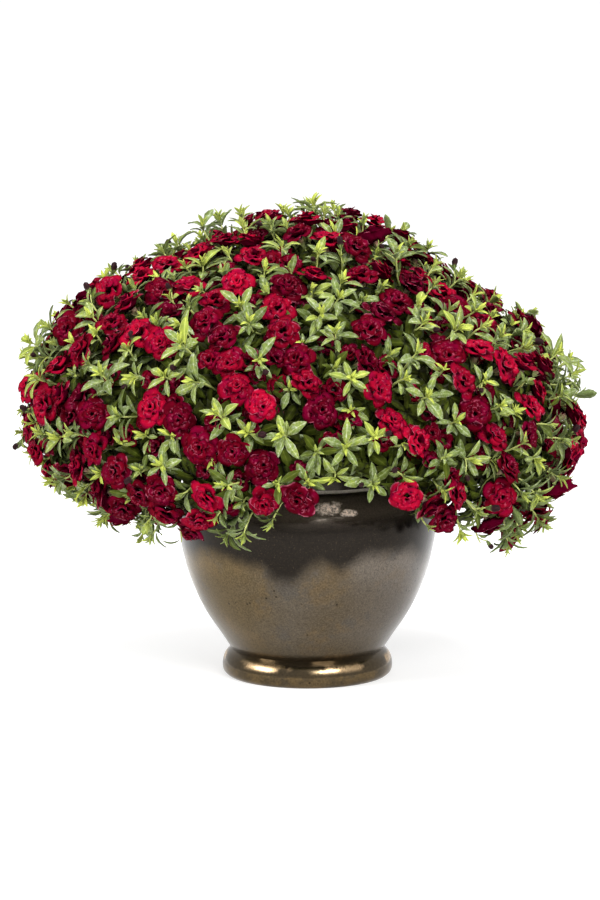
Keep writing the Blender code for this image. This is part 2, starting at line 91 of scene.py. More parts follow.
CRUMB_SEED = 59

# Mound: an ellipse of revolution, taller above its widest level than below it. Each bulge is
# (azimuth, angle from the top, height, width), with its angles in degrees.
MOUND_RADIUS = 0.247
MOUND_MIDDLE = 0.216
MOUND_RISE = 0.206
MOUND_DROP = 0.094
LUMP_HEIGHT = 0.006
LUMPS_ROUND = 3
LUMPS_DOWN = 4
WAVE_START = 1
BULGES = ((-90, 64, 0.020, 22), (90, 44, -0.012, 30), (60, 122, 0.026, 22), (-30, 124, 0.008, 22))
CROWN_DIP = 0.014
CROWN_DIP_ANGLE = 36
CROWN_DIP_SPREAD = 18
POLE_RADIUS = 0.020
SKIRT_ANGLE = radians(133)
SKIRT_WAVE = radians(5)
SKIRT_WAVES = 5
SKIRT_SPARE = radians(3)
PARTING_AZIMUTH = radians(8)
PARTING_WIDTH = radians(17)
PARTING_RISE = radians(50)

# Patches of the mound, one for each leafy stem, in bands round it. A band has this many patches and ends at
# this angle from the top, its twigs end in this many columns and rows, and each patch has this many rosettes.
Band = namedtuple("Band", "patches end columns rows rosettes")
BANDS = (Band(1, 22, 16, 1, 5), Band(4, 52, 8, 2, 6), Band(8, 82, 4, 2, 6), Band(8, None, 4, 2, 4))
BAND_WAVE = radians(4)
BAND_WAVES = 3
HOLE_RINGS = (0.000, 0.024, 0.046, 0.067)
PATCH_GAP = 0.0008
NARROWEST_PATCH = 0.3
TWIG_DEPTH = 0.038
TWIG_FAN = 0.036
TWIG_PEAKS = (0.009, 0.019)
PEAK_SHARE = (0.3, 0.7)
STEM_RADII = (0.0030, 0.0020)
STEM_POINTS = 9
STEM_NECK = 0.004
STEM_RISE = 0.085
STEM_PULL = 0.050
STEM_LIFT = 0.012

# Blooms
CLUSTERS = 35
BLOOMS_PER_CLUSTER = 7
CLUSTER_SPOTS = 200
CLUSTER_WANDER = 0.012
BLOOM_TRIES = 60
CLUSTER_MARGIN = radians(7)
BLOOM_MARGIN = radians(3)
BLOOM_REACH = 0.072
BLOOM_RADIUS = (0.0152, 0.0180)
BLOOM_STEP = (0.0280, 0.0325)
BLOOM_NEAREST = 0.0270
BLOOM_DEPTH = (0.001, 0.009)
BLOOM_LEAN = 0.50
BLOOM_LIFT = 0.22
LOBES = 5
LOBE_DROOP = 0.0015
INNER_REACH = 0.46
INNER_LIFT = 0.0048
THROAT_LIFT = 0.0012
TRUMPET_DEPTH = 0.024
TRUMPET_LONGEST = 0.055
SEAT_GAP = 0.0005

# Rosettes of leaves
ROSETTE_TRIES = 90
ROSETTE_REACH = 0.085
ROSETTE_SHARE = (0.06, 0.94)
ROSETTE_LEAVES = 5
ROSETTE_DEPTH = (-0.001, 0.010)
ROSETTE_LEAN = 0.35
ROSETTE_SIZE = (0.70, 1.0)
LEAF_LENGTH = (0.022, 0.030)
LEAF_WIDEST = 0.52
LEAF_HALF_WIDTH = 0.0052
LEAF_THICKNESS = 0.0018
LEAF_RISE = (0.15, 0.60)
HUB_RADIUS = 0.0025
HUB_TIP = 0.0060
STALK_SINK = 0.0035
CLEARANCE_SCALE = 1.03

# Fine blooms, in shares of a bloom's radius. Each ring of petals is a ruffled funnel of lobes.
Ring = namedtuple("Ring", "lobes columns rows reach throat floor rim lift notch ruffle turn curl")
PETAL_RINGS = (
    Ring(5, 6, 4, 1.04, 0.15, -0.46, -0.05, 2.2, 0.77, 0.070, 0.0, 0.13),
    Ring(5, 4, 3, 0.83, 0.11, -0.33, 0.13, 3.0, 0.70, 0.085, 0.5, 0.12),
    Ring(4, 4, 3, 0.58, 0.08, -0.24, 0.27, 3.5, 0.64, 0.085, 0.2, 0.12),
    Ring(3, 4, 3, 0.35, 0.04, -0.10, 0.35, 3.0, 0.58, 0.075, 0.3, 0.08),
)
YOUNG_RINGS = (
    Ring(5, 4, 3, 0.95, 0.15, -0.70, 0.10, 2.5, 0.74, 0.090, 0.0, 0.12),
    Ring(3, 4, 3, 0.62, 0.10, -0.50, 0.30, 3.0, 0.60, 0.090, 0.5, 0.10),
)
BLOOM_KINDS = 16
BLOOM_SEED = 31
YOUNG_KINDS = 5
YOUNG_BLOOMS = 330
YOUNG_TRIES = 30
YOUNG_RADIUS = (0.0095, 0.0140)
YOUNG_DEPTH = (0.006, 0.024)
YOUNG_ROOM = 0.0155
YOUNG_OUTWARD = 0.5
YOUNG_HUB_ROOM = 0.0070
BLOOM_TINT = (1.5, 1.7)
YOUNG_TINT = (0.0, 0.5)
MIDDLE_TINT = 0.5
PETAL_THICKNESS = 0.020
LOBE_SPREAD = 0.16
LOBE_ROUNDNESS = 0.7
FOLD_SHARE = (0.4, 1.0)
RING_TILT = 0.17
RING_SHIFT = 0.14
RIM_SPREAD = 0.10
RIPPLE = 0.15
RIPPLES = 9
REACH_SPREAD = 0.08
GOLDEN_ANGLE = pi * (3 - sqrt(5))

# Calyx and tube behind each bloom, also in shares of its radius
TUBE_SIDES = 6
TUBE_PROFILE = ((0.160, -0.42), (0.145, -0.62), (0.105, -0.92), (0.085, -1.18))
TUBE_TONES = (1.0, 0.8, 0.6, 0.5)
SEPALS = 5
SEPAL_LENGTH = 0.62
SEPAL_ROWS = ((0.35, 0.075, 0.01), (0.75, 0.075, 0.01))
SEPAL_THICKNESS = 0.03
SEPAL_TILT = radians(-62)
CALYX_HEIGHT = -1.10
PEDICEL_RADII = (0.00055, 0.00055)
PEDICEL_POINTS = 5
PEDICEL_TINTS = (0.9, 0.6)
PEDICEL_REACH = 0.012

# Fine leaves, one long along X. Each row is (along, half width, height of its edges over its midrib).
LEAF_ROWS = ((0.10, 0.046, 0.020), (0.30, 0.122, 0.055), (0.55, 0.172, 0.058), (0.79, 0.122, 0.038),
             (0.93, 0.052, 0.014))
SMALL_LEAF_ROWS = ((0.30, 0.150, 0.040), (0.66, 0.175, 0.035))
LEAF_ARCH = 0.11
LEAF_FINE_THICKNESS = 0.032
LEAF_BENDS = ((0.00, 0.00, 0.0), (0.10, 0.10, 0.3), (-0.12, 0.16, -0.3), (0.05, -0.10, 0.5))
LEAF_KINDS = len(LEAF_BENDS)
LEAF_MIDDLE = 0.55
PARALLEL = 1e-4

# Shoots: the whorl of each rosette, its small tip leaves, and the leaves down its stalk. The leaves of a
# rosette are kept as they stand (True), and all others leave more room in front of a bloom (False).
SHOOT_SEED = 47
SHOOT_TINT = {"rosette": (0.40, 0.80), "extra": (0.35, 0.78), "stalk": (0.60, 0.80)}
WHORL_WIDTH = (0.90, 1.25)
WHORL_LENGTH = (0.76, 1.04)
WHORL_SWING = 0.30
WHORL_START = (-0.5, 0.8)
WHORL_TINT = (-0.15, 0.12)
TIP_LEAVES = 7
TIP_LENGTH = (0.0080, 0.0155)
TIP_WIDTH = (0.60, 0.85)
TIP_TILT = (0.15, 0.85)
TIP_TINT = (0.22, 0.50)
TIP_FACE = 0.4
STALK_LEAVES = 12
STALK_LEAF_WIDTH = (0.80, 1.15)
STALK_STEP = (0.0050, 0.0085)
STALK_LEAF_LENGTH = (0.016, 0.025)
STALK_LEAF_TILT = (0.75, 1.25)
STALK_LEAF_TINT = (-0.10, 0.10)
STALK_LEAF_TURN = (-0.3, 0.3)
# Painted shade: a stalk's leaves get a darker tint, by a first step and then by this much a metre down the
# stalk.
STALK_SHADE_DEEPENING = 9
STALK_SHADE = 0.05
DEEP_LEAF = 0.042
EXTRA_TRIES = 500
EXTRA_SHARE = (0.02, 0.98)
EXTRA_ROOM = 0.0235
EXTRA_BLOOM_ROOM = 0.0185
EXTRA_DEPTH = (0.001, 0.016)
EXTRA_LEAVES = (4, 6)
EXTRA_LENGTH = (0.013, 0.023)
BLOOM_KEEP_OUT = 0.85
BLOOM_FRONT = {True: 0.0075, False: 0.0095}
BLOOM_BACK = 0.0030
STALK_GIRTH = (0.0012, 0.0008)
STALK_END_GIRTH = (0.0008, 0.00048)
STALK_POINTS = 8
STALK_SIDES = 5
OUTER_TINTS = (0.2, 1.0)
INNER_TINTS = (0.2, 0.4)
FRESH_TINTS = (1.0, 1.0)
STEM_TINTS = (0.0, 0.35)
STEM_SIDES = 8
STALK_BEND = 0.38
STALK_STRAIGHTER = (1.0, 0.6, 0.3, 0.0)

# Inner shoots under the others, in their shade. Their leaves' dark tint is painted shade.
INNER_TRIES = 260
INNER_ROOM = 0.0165
INNER_DEPTH = (0.020, 0.036)
INNER_LEAVES = 7
INNER_SWING = (-0.2, 0.2)
INNER_LENGTH = (0.018, 0.027)
INNER_RISE = (-0.10, 0.35)
INNER_WIDTH = (0.85, 1.15)
INNER_SHADE_TINT = (0.00, 0.28)
INNER_POINTS = 4

# Buds
BUDS = 70
BUD_KINDS = 5
BUD_LENGTH = (0.0095, 0.0145)
BUD_SEED = 53
BUD_SIDES = 10
BUD_TOP = ((0.04, 1.0), (0.16, 0.90))
BUD_GIRTH = 0.24
BUD_SWELL = (0.55, 0.72)
BUD_FOOT = ((0.13, 0.32), (0.07, 0.05))
BUD_TONES = (0.0, 0.0, 0.1, 0.6, 1.0)
BUD_FOLDS = 5
BUD_FOLD_DEPTH = 0.34
BUD_LUMPS = 0.16
BUD_TWIST = 2.5
BUD_SEPAL_ROWS = ((0.35, 0.10, 0.02), (0.75, 0.09, 0.02))
BUD_SEPAL_THICKNESS = 0.04
BUD_SEPAL_LENGTH = 0.5
BUD_SEPAL_HEIGHT = 0.05
BUD_SEPAL_TILT = (-75, -50)
BUD_AHEAD = (0.004, 0.008)
BUD_ASIDE = (0.006, 0.011)
BUD_LEAN = (0.3, 1.0)
BUD_STALK_LIFT = 0.001
BUD_SEAT = 0.0005

# Glaze. The border of its dark top, which is partly the glaze's own colour and partly painted reflection and
# shadow of the mound, waves round the pot, with tongues of (azimuth, half width, height). Each painted
# highlight patch is (X, height, half width, half height).
GLAZE_BORDER = (0.107, 0.128)
GLAZE_WAVE = 0.009
GLAZE_WAVES = 4
GLAZE_TURN = radians(40)
GLAZE_TONGUES = ((-0.950, 0.50, -0.005), (-0.216, 0.20, -0.005), (0.075, 0.19, 0.008), (0.260, 0.15, -0.003))
GLAZE_PAINTED_HIGHLIGHTS = ((0.0188, 0.1690, 0.0125, 0.0068), (0.0351, 0.1651, 0.0078, 0.0034))
# Painted highlight: a thin bright line at this height, along the ridge under the collar.
GLAZE_RIDGE = 0.1815
# Painted light: the shoulder's colour is lightened between these heights, and fades out at the collar.
GLAZE_SHOULDER = (0.148, 0.166)
GLAZE_COLLAR = (0.176, 0.183)
GLAZE_FOOT = (0.015, 0.060)
GLAZE_SOLE = (0.0090, 0.0125)
# Painted highlight: golden strokes round the top of the foot ring, in this band of heights and at these
# turns.
FOOT_HIGHLIGHT_BAND = ((0.0120, 0.0165), (0.0185, 0.0215))
FOOT_WAVES = 6
FOOT_TURN = radians(26)

# Colours in linear light. Where one is a ramp, its stops are (position, colour).
PETAL = {
    "face": ((0.08, (0.034, 0.0002, 0.004)), (0.48, (0.100, 0.0005, 0.006)), (1.00, (0.350, 0.0025, 0.022))),
    # The throat colour is partly painted shade, and the pale rim colour is a painted highlight.
    "magenta": (0.150, 0.0006, 0.022), "throat": (0.025, 0.0003, 0.008), "rim": (0.600, 0.130, 0.210),
    "streaks": (0.50, 0.10, 0.17), "back": (0.095, 0.0005, 0.014),
}
# Leaf colours by tint: the darkest stops are painted shade for leaves deep in the mound, and lime is the
# young tips.
LEAF = {
    "face": ((0.00, (0.013, 0.015, 0.001)), (0.30, (0.058, 0.078, 0.006)), (0.55, (0.128, 0.176, 0.042)),
             (0.80, (0.245, 0.305, 0.046)), (1.00, (0.395, 0.460, 0.062))),
    "frost": (0.520, 0.560, 0.400), "paler": (2.2, 1.95, 3.2), "back": (0.185, 0.245, 0.085),
}
STALK = ((0.00, (0.080, 0.058, 0.026)), (0.45, (0.130, 0.160, 0.045)), (1.00, (0.470, 0.520, 0.150)))
CALYX = ((0.00, (0.170, 0.270, 0.070)), (0.50, (0.330, 0.400, 0.130)), (0.85, (0.230, 0.100, 0.070)),
         (1.00, (0.030, 0.001, 0.008)))
CALYX_VEINS = (0.210, 0.260, 0.090)
BUD = ((0.00, (0.012, 0.003, 0.004)), (0.30, (0.020, 0.006, 0.007)), (0.70, (0.130, 0.170, 0.050)),
       (1.00, (0.200, 0.270, 0.080)))
# Painted light: the lighter colour of the ridges of a bud's folds.
BUD_LIT_RIDGE = (0.062, 0.016, 0.022)
# Some of these colours are painted light. The shoulder colour lightens where the mound's shadow falls; the
# ridge line, the foot band and the warm shoulder patches are painted highlights; the dark top colour is
# partly painted reflection and shadow of the mound; golden to the left and grey to the right are partly
# painted reflection.
GLAZE = {
    "drift": ((0.00, (0.116, 0.098, 0.078)), (1.00, (0.100, 0.076, 0.048))), "grey": (0.132, 0.114, 0.098),
    "golden": (0.118, 0.080, 0.030), "ochre": (0.150, 0.100, 0.046), "smoky": (0.082, 0.076, 0.070),
    "foot": (0.062, 0.044, 0.022), "sole": (0.130, 0.088, 0.040), "band": (0.440, 0.305, 0.170),
    "charcoal_and_reflection": (0.013, 0.010, 0.007), "shoulder": (0.090, 0.070, 0.052), "ridge": (0.600, 0.540, 0.460),
    "painted_highlight": (1.000, 0.810, 0.660), "speckle": (0.300, 0.220, 0.130), "pit": (0.012, 0.010, 0.008),
}
SOIL = ((0.30, (0.012, 0.008, 0.006)), (0.55, (0.045, 0.030, 0.020)), (0.75, (0.110, 0.080, 0.055)))
FLOOR = (0.62, 0.62, 0.62, 1)
WHITE = (1, 1, 1, 1)

# Floor, camera and lights, from the photo: it looks 9.5 degrees down from far off. Each light is
# (name, place, size, power).
FLOOR_SIZE = 400.0
CAMERA_AIM = Vector((-0.00675, 0.0, 0.2035))
CAMERA_DISTANCE = 4.0
CAMERA_ELEVATION = radians(9.5)
VIEW_HEIGHT = 0.81
SENSOR = 36.0
WORLD_LIGHT = 0.80
LIGHT_AIM = Vector((0, 0, 0.22))
LIGHTS = (("key", (0.95, -2.0, 1.35), (1.3, 0.45), 46), ("side", (-2.0, -0.9, 1.1), (1.0, 0.5), 30),
          ("top", (0.2, 0.0, 2.2), (1.2, 1.2), 34))


# Shape of the mound


def wrapped(angle):
    return (angle + pi) % tau - pi


def lowest_angle(azimuth):
    """How far from the mound's top its skirt hangs at this azimuth. It parts above the rim at the front."""
    away = wrapped(azimuth - PARTING_AZIMUTH) / PARTING_WIDTH
    wave = SKIRT_WAVE * sin(SKIRT_WAVES * azimuth + WAVE_START)
    return SKIRT_ANGLE + wave - PARTING_RISE * exp(-away * away)


def mound_rise(theta):
    return MOUND_RISE if theta < pi / 2 else MOUND_DROP


def mound_slope(theta):
    """How far down the mound one radian of theta reaches."""
    return hypot(MOUND_RADIUS * cos(theta), mound_rise(theta) * sin(theta))


def mound_normal(theta, azimuth):
    out = sin(theta) / MOUND_RADIUS
    up = cos(theta) / mound_rise(theta)
    return Vector((out * sin(azimuth), -out * cos(azimuth), up)).normalized()


def swell(theta, azimuth):
    """How far the mound stands out of its ellipse: a dip round its crown, bulges, and low lumps all over."""
    angle = degrees(theta)
    out = LUMP_HEIGHT * sin(LUMPS_ROUND * azimuth + WAVE_START) * sin(LUMPS_DOWN * theta)
    out -= CROWN_DIP * exp(-(((angle - CROWN_DIP_ANGLE) / CROWN_DIP_SPREAD)**2))
    for bulge_azimuth, bulge_angle, height, width in BULGES:
        across = degrees(wrapped(azimuth - radians(bulge_azimuth))) * sin(theta)
        down = angle - bulge_angle
        out += height * exp(-(across * across + down * down) / width**2)
    return out


def mound_point(theta, azimuth, depth=0.0):
    """The point of the mound's outer skin at the angle theta from its top, moved in by depth."""
    radius = MOUND_RADIUS * sin(theta)
    height = MOUND_MIDDLE + mound_rise(theta) * cos(theta)
    on_ellipse = Vector((radius * sin(azimuth), -radius * cos(azimuth), height))
    return on_ellipse + mound_normal(theta, azimuth) * (swell(theta, azimuth) - depth)


def step_along(theta, azimuth, distance, heading):
    """The angles reached by going this far over the mound. Heading 0 goes down, a quarter turn goes round."""
    radius = max(MOUND_RADIUS * sin(theta), POLE_RADIUS)
    down, round_it = distance * cos(heading), distance * sin(heading)
    return abs(theta + down / mound_slope(theta)), azimuth + round_it / radius


def area_table():
    """The mound's area above each whole degree of theta, as a share of all of it."""
    sums = [0.0]
    for degree in range(round(degrees(SKIRT_ANGLE))):
        theta = radians(degree + 0.5)
        sums.append(sums[-1] + sin(theta) * mound_slope(theta))
    return [s / sums[-1] for s in sums]


AREAS = area_table()


def even_spot(dice):
    """(theta, azimuth) of a spot drawn evenly over the mound's area."""
    azimuth = dice.uniform(0, tau)
    return radians(bisect_left(AREAS, dice.random())), azimuth


def below_skirt(place, spare=0.0):
    """True for a place under the mound's skirt, or in its parting."""
    up = place.z - MOUND_MIDDLE
    rise = MOUND_RISE if up > 0 else MOUND_DROP
    theta = atan2(hypot(place.x, place.y) / MOUND_RADIUS, up / rise)
    return theta > lowest_angle(atan2(place.x, -place.y)) + spare


class Patch:
    """The part of the mound that one leafy stem covers. The stem's twigs fan out from its root."""

    def __init__(self, band, number):
        self.band, self.layout = band, BANDS[band]
        self.width = tau / self.layout.patches
        self.start = self.width * (number + 0.5 * (band % 2))
        middle = self.start + self.width / 2
        self.hole = HOLE_RINGS[band] * sin(middle), -HOLE_RINGS[band] * cos(middle)
        centre = self.place(0.5, 0.5) if band else (0.0, 0.0)
        self.root = mound_point(*centre, TWIG_DEPTH + TWIG_FAN)
        self.facing = mound_normal(*centre)

    def place(self, across, down):
        """(theta, azimuth) at these shares of the way across and down the patch, clear of its neighbours."""
        azimuth = self.start + self.width * across
        top, bottom = band_end(self.band - 1, azimuth), band_end(self.band, azimuth)
        gap = PATCH_GAP / MOUND_RADIUS
        theta = top + gap + (bottom - top - 2 * gap) * down
        return theta, azimuth + gap / max(sin(theta), NARROWEST_PATCH) * (1 - 2 * across)


def band_end(band, azimuth):
    """The angle from the top where a band ends, which waves round the mound."""
    if band < 0:
        return 0.0
    if BANDS[band].end is None:
        return lowest_angle(azimuth)
    return radians(BANDS[band].end) + BAND_WAVE * sin(BAND_WAVES * azimuth + band)


# Twigs: the tangle under each patch, which fans out from its stem


def round_pairs(items):
    """Each item with the one after it, and the last with the first."""
    return zip(items, items[1:] + items[:1])


def twig_mesh(patch, dice):
    """(points, faces) of a fan from the end of the stem out to a skin of peaks under the leaves."""
    columns, rows = patch.layout.columns, patch.layout.rows
    points, faces, grid = [], [], {}
    for row in range(rows + 1):
        for column in range(columns + 1):
            grid[row, column] = len(points)
            points.append(mound_point(*patch.place(column / columns, row / rows), TWIG_DEPTH))
    if patch.band == 0:
        # The crown closes on itself, and its first row is one point.
        grid.update({(0, column): 0 for column in range(columns + 1)})
        grid[1, columns] = grid[1, 0]
    for row in range(rows):
        for column in range(columns):
            around = (row, column), (row, column + 1), (row + 1, column + 1), (row + 1, column)
            corners = list(dict.fromkeys(grid[corner] for corner in around))
            across = (column + dice.uniform(*PEAK_SHARE)) / columns
            down = (row + dice.uniform(*PEAK_SHARE)) / rows
            lift = dice.uniform(*TWIG_PEAKS)
            faces += [(a, b, len(points)) for a, b in round_pairs(corners)]
            points.append(mound_point(*patch.place(across, down), TWIG_DEPTH - lift))
    edge = [grid[rows, column] for column in range(columns, 0, -1)]
    if patch.band:
        edge += [grid[row, 0] for row in range(rows, 0, -1)]
        edge += [grid[0, column] for column in range(columns)]
        edge += [grid[row, columns] for row in range(rows)]
    faces += [(a, b, len(points)) for a, b in round_pairs(edge)]
    return points + [patch.root], faces


def tree_of(meshes):
    """One search tree of several (points, faces) meshes."""
    points, faces = [], []
    for more_points, more_faces in meshes:
        faces += [tuple(i + len(points) for i in face) for face in more_faces]
        points += more_points
    return BVHTree.FromPolygons(points, faces)


def curve(start, first, second, end, count):
    """The points of a line from start to end, pulled towards first and then towards second."""
    line = []
    for i in range(count):
        t = i / (count - 1)
        line.append((1 - t) ** 3 * start + 3 * (1 - t) ** 2 * t * first + 3 * (1 - t) * t * t * second
                    + t**3 * end)
    return line


def stem_line(patch):
    """The points of a stem: straight up out of its hole, then over to the root of its twigs."""
    foot = Vector((*patch.hole, SOIL_CROWN_HEIGHT - HOLE_DEPTH + HOLE_CLEARANCE))
    top = Vector((*patch.hole, SOIL_CROWN_HEIGHT + STEM_NECK))
    half = (patch.root - top).length / 2
    rise = Vector((0, 0, min(STEM_RISE, half)))
    pull = patch.root - patch.facing * min(STEM_PULL, half) + Vector((0, 0, STEM_LIFT * patch.band))
    return [foot, *curve(top, top + rise, pull, patch.root, STEM_POINTS)]


# Blooms


def upright_frame(place, facing, spin):
    """The matrix that stands a shape modelled on +Z at a place, facing a way."""
    turn = facing.to_track_quat("Z", "Y").to_matrix().to_4x4()
    return Matrix.Translation(place) @ turn @ Matrix.Rotation(spin, 4, "Z")


def ring_point(reach, angle, height):
    return Vector((reach * cos(angle), reach * sin(angle), height))


def drawn_lean(most, dice):
    return Vector([dice.uniform(-most, most) for _ in range(3)])


class Bloom:
    """One double bloom. Its middle is in the plane of its lobes, and its trumpet's foot is depth behind."""

    def __init__(self, theta, azimuth, dice):
        self.theta, self.azimuth = theta, azimuth
        self.radius = dice.uniform(*BLOOM_RADIUS)
        self.place = mound_point(theta, azimuth, dice.uniform(*BLOOM_DEPTH))
        lift = Vector((0, 0, BLOOM_LIFT * sin(theta)))
        self.facing = (mound_normal(theta, azimuth) + drawn_lean(BLOOM_LEAN, dice) + lift).normalized()
        self.spin = dice.uniform(0, tau / LOBES)
        self.depth = TRUMPET_DEPTH

    def frame(self):
        return upright_frame(self.place, self.facing, self.spin)

    def seat(self, twigs):
        """Ends the trumpet on the twigs under it, where there are any."""
        hit, _, _, distance = twigs.ray_cast(self.place, -self.facing, TRUMPET_LONGEST)
        if hit is not None:
            self.depth = distance - SEAT_GAP

    def tree(self, grown=1.0):
        """The search tree of its solid: lobes, the raised inner petals round the throat, and the trumpet."""
        half = pi / LOBES
        inner_radius = self.radius * INNER_REACH
        points = [ring_point(self.radius, 2 * k * half, -LOBE_DROOP) for k in range(LOBES)]
        points += [ring_point(inner_radius, (2 * k + 1) * half, INNER_LIFT) for k in range(LOBES)]
        points = [p * grown for p in points] + [Vector((0, 0, THROAT_LIFT)), Vector((0, 0, -self.depth))]
        throat, foot = 2 * LOBES, 2 * LOBES + 1
        faces = []
        for k in range(LOBES):
            after = (k + 1) % LOBES
            inner, inner_after = LOBES + k, LOBES + after
            faces += [(k, after, inner), (after, inner_after, inner)]
            faces += [(inner, inner_after, throat), (after, k, foot)]
        stand = self.frame()
        return BVHTree.FromPolygons([stand @ p for p in points], faces)


def crosses(tree, place, others, reach):
    """True if the tree's surface crosses that of any of the others, given as (place, tree) pairs."""
    return any((place - there).length < reach and tree.overlap(other) for there, other in others)


def room_at(place, placed, beside=None):
    """How far this place is from the nearest of those placed, leaving out the one it stands beside."""
    return min(((place - there).length for there, _ in placed if there is not beside), default=inf)


def barest_spot(placed, dice):
    """The spot with the most room round it, of some drawn evenly over the mound."""
    best, most_room = None, 0.0
    for _ in range(CLUSTER_SPOTS):
        theta, azimuth = even_spot(dice)
        theta = min(theta, lowest_angle(azimuth) - CLUSTER_MARGIN)
        room = room_at(mound_point(theta, azimuth), placed)
        if room > most_room:
            best, most_room = (theta, azimuth), room
    return best


def next_bloom(spot, blooms, trees, twigs, placed, dice):
    """Of some drawn beside those of its cluster, the bloom with the most room that crosses only these."""
    best, most_room = None, 0.0
    for _ in range(BLOOM_TRIES):
        near = dice.choice(blooms) if blooms else None
        start = (near.theta, near.azimuth) if near else spot
        step = dice.uniform(*BLOOM_STEP) if near else dice.uniform(0, CLUSTER_WANDER)
        bloom = Bloom(*step_along(*start, step, dice.uniform(0, tau)), dice)
        if bloom.theta > lowest_angle(bloom.azimuth) - BLOOM_MARGIN:
            continue
        if room_at(bloom.place, trees) < BLOOM_NEAREST:
            continue
        room = room_at(bloom.place, placed + trees, near.place if near else None)
        if room <= most_room:
            continue
        bloom.seat(twigs)
        wide = bloom.tree(CLEARANCE_SCALE)
        if wide.overlap(twigs) or crosses(wide, bloom.place, placed, BLOOM_REACH):
            continue
        if near and not crosses(bloom.tree(), bloom.place, trees, BLOOM_REACH):
            continue
        best, most_room = bloom, room
    return best


def grow_clusters(twigs, placed, dice):
    """Clusters of blooms, spread over the mound so that no part of it stays bare."""
    clusters = []
    for _ in range(CLUSTERS):
        spot = barest_spot(placed, dice)
        blooms, trees = [], []
        for _ in range(BLOOMS_PER_CLUSTER):
            bloom = next_bloom(spot, blooms, trees, twigs, placed, dice)
            if bloom:
                blooms.append(bloom)
                trees.append((bloom.place, bloom.tree()))
        clusters.append(blooms)
        placed += trees
    return clusters


# Rosettes


class Rosette:
    """A whorl of leaves on a stalk, as at the tip of a shoot."""

    def __init__(self, theta, azimuth, dice):
        self.place = mound_point(theta, azimuth, dice.uniform(*ROSETTE_DEPTH))
        self.facing = (mound_normal(theta, azimuth) + drawn_lean(ROSETTE_LEAN, dice)).normalized()
        self.spin = dice.uniform(0, tau)
        self.stalk = TWIG_DEPTH
        size = dice.uniform(*ROSETTE_SIZE)
        self.leaves = [(size * dice.uniform(*LEAF_LENGTH), dice.uniform(*LEAF_RISE))
                       for _ in range(ROSETTE_LEAVES)]

    def seat(self, twigs):
        """Sinks the stalk in the stem's own twigs. False if they don't lie under it."""
        hit, _, _, distance = twigs.ray_cast(self.place, -self.facing, 2 * TWIG_DEPTH)
        if hit is None:
            return False
        self.stalk = distance + STALK_SINK
        return True

    def tree(self, scale=1.0):
        """The search tree of its solid: leaves with a ridge above and flat below, and one hub on a stalk."""
        count = ROSETTE_LEAVES
        half = pi / count
        points = [ring_point(HUB_RADIUS, (2 * i - 1) * half, 0) for i in range(count)]
        points += [Vector((0, 0, HUB_TIP)), Vector((0, 0, -self.stalk))]
        top, foot = count, count + 1
        faces = []
        for before, (length, rise) in enumerate(self.leaves):
            angle = 2 * before * half
            tip_height = length * rise
            reach = LEAF_WIDEST * length
            edge = HUB_TIP + (tip_height - HUB_TIP) * LEAF_WIDEST - LEAF_THICKNESS
            side = atan2(LEAF_HALF_WIDTH, reach)
            after = (before + 1) % count
            left, right, tip = range(len(points), len(points) + 3)
            points += [ring_point(reach, angle - side, edge), ring_point(reach, angle + side, edge),
                       ring_point(length, angle, tip_height)]
            faces += [(top, before, left), (top, left, tip), (top, tip, right), (top, right, after)]
            faces += [(left, before, right), (before, after, right), (tip, left, right)]
            faces.append((after, before, foot))
        stand = upright_frame(self.place, self.facing, self.spin)
        return BVHTree.FromPolygons([stand @ (p * scale) for p in points], faces)


def grow_rosettes(patch, own_twigs, other_twigs, placed, dice):
    """Rosettes over one patch, each in the barest spot found that is clear of all that is there."""
    rosettes = []
    for _ in range(patch.layout.rosettes):
        best, most_room = None, 0.0
        for _ in range(ROSETTE_TRIES):
            spot = patch.place(dice.uniform(*ROSETTE_SHARE), dice.uniform(*ROSETTE_SHARE))
            rosette = Rosette(*spot, dice)
            room = room_at(rosette.place, placed)
            if room < most_room or not rosette.seat(own_twigs):
                continue
            wide = rosette.tree(CLEARANCE_SCALE)
            if not wide.overlap(other_twigs) and not crosses(wide, rosette.place, placed, ROSETTE_REACH):
                best, most_room = rosette, room
        if best:
            rosettes.append(best)
            placed.append((best.place, best.tree()))
    return rosettes


def grow_plant():
    """(patches, clusters of blooms, rosettes of each patch), the same each run."""
    dice = random.Random(SEED)
    patches = []
    for band, layout in enumerate(BANDS):
        patches += [Patch(band, number) for number in range(layout.patches)]
    twigs = [twig_mesh(patch, dice) for patch in patches]
    placed = []
    clusters = grow_clusters(tree_of(twigs), placed, dice)
    rosettes = []
    for i, patch in enumerate(patches):
        others = tree_of(twigs[:i] + twigs[i + 1:])
        rosettes.append(grow_rosettes(patch, tree_of(twigs[i:i + 1]), others, placed, dice))
    return patches, clusters, rosettes


# Meshes


def point_mesh(name, points, edges, faces, values):
    """A mesh with values at its points, given as label: (kind, flat list of numbers)."""
    mesh = bpy.data.meshes.new(name)
    mesh.from_pydata([tuple(p) for p in points], edges, faces)
    for label, (kind, numbers) in values.items():
        channel = "vector" if kind == "FLOAT_VECTOR" else "value"
        mesh.attributes.new(label, kind, "POINT").data.foreach_set(channel, numbers)
    return mesh


class Shape:
    """Points and faces, with what the material reads at each point: along, across and under."""

    def __init__(self):
        self.points, self.faces = [], []
        self.values = {"along": [], "across": [], "under": []}

    def point(self, place, along=0.0, across=0.0, under=0.0):
        self.points.append(Vector(place))
        for numbers, number in zip(self.values.values(), (along, across, under)):
            numbers.append(number)
        return len(self.points) - 1

    def mesh(self, name, plain=False):
        values = {} if plain else {label: ("FLOAT", numbers) for label, numbers in self.values.items()}
        mesh = point_mesh(name, self.points, [], self.faces, values)
        mesh.shade_smooth()
        return mesh


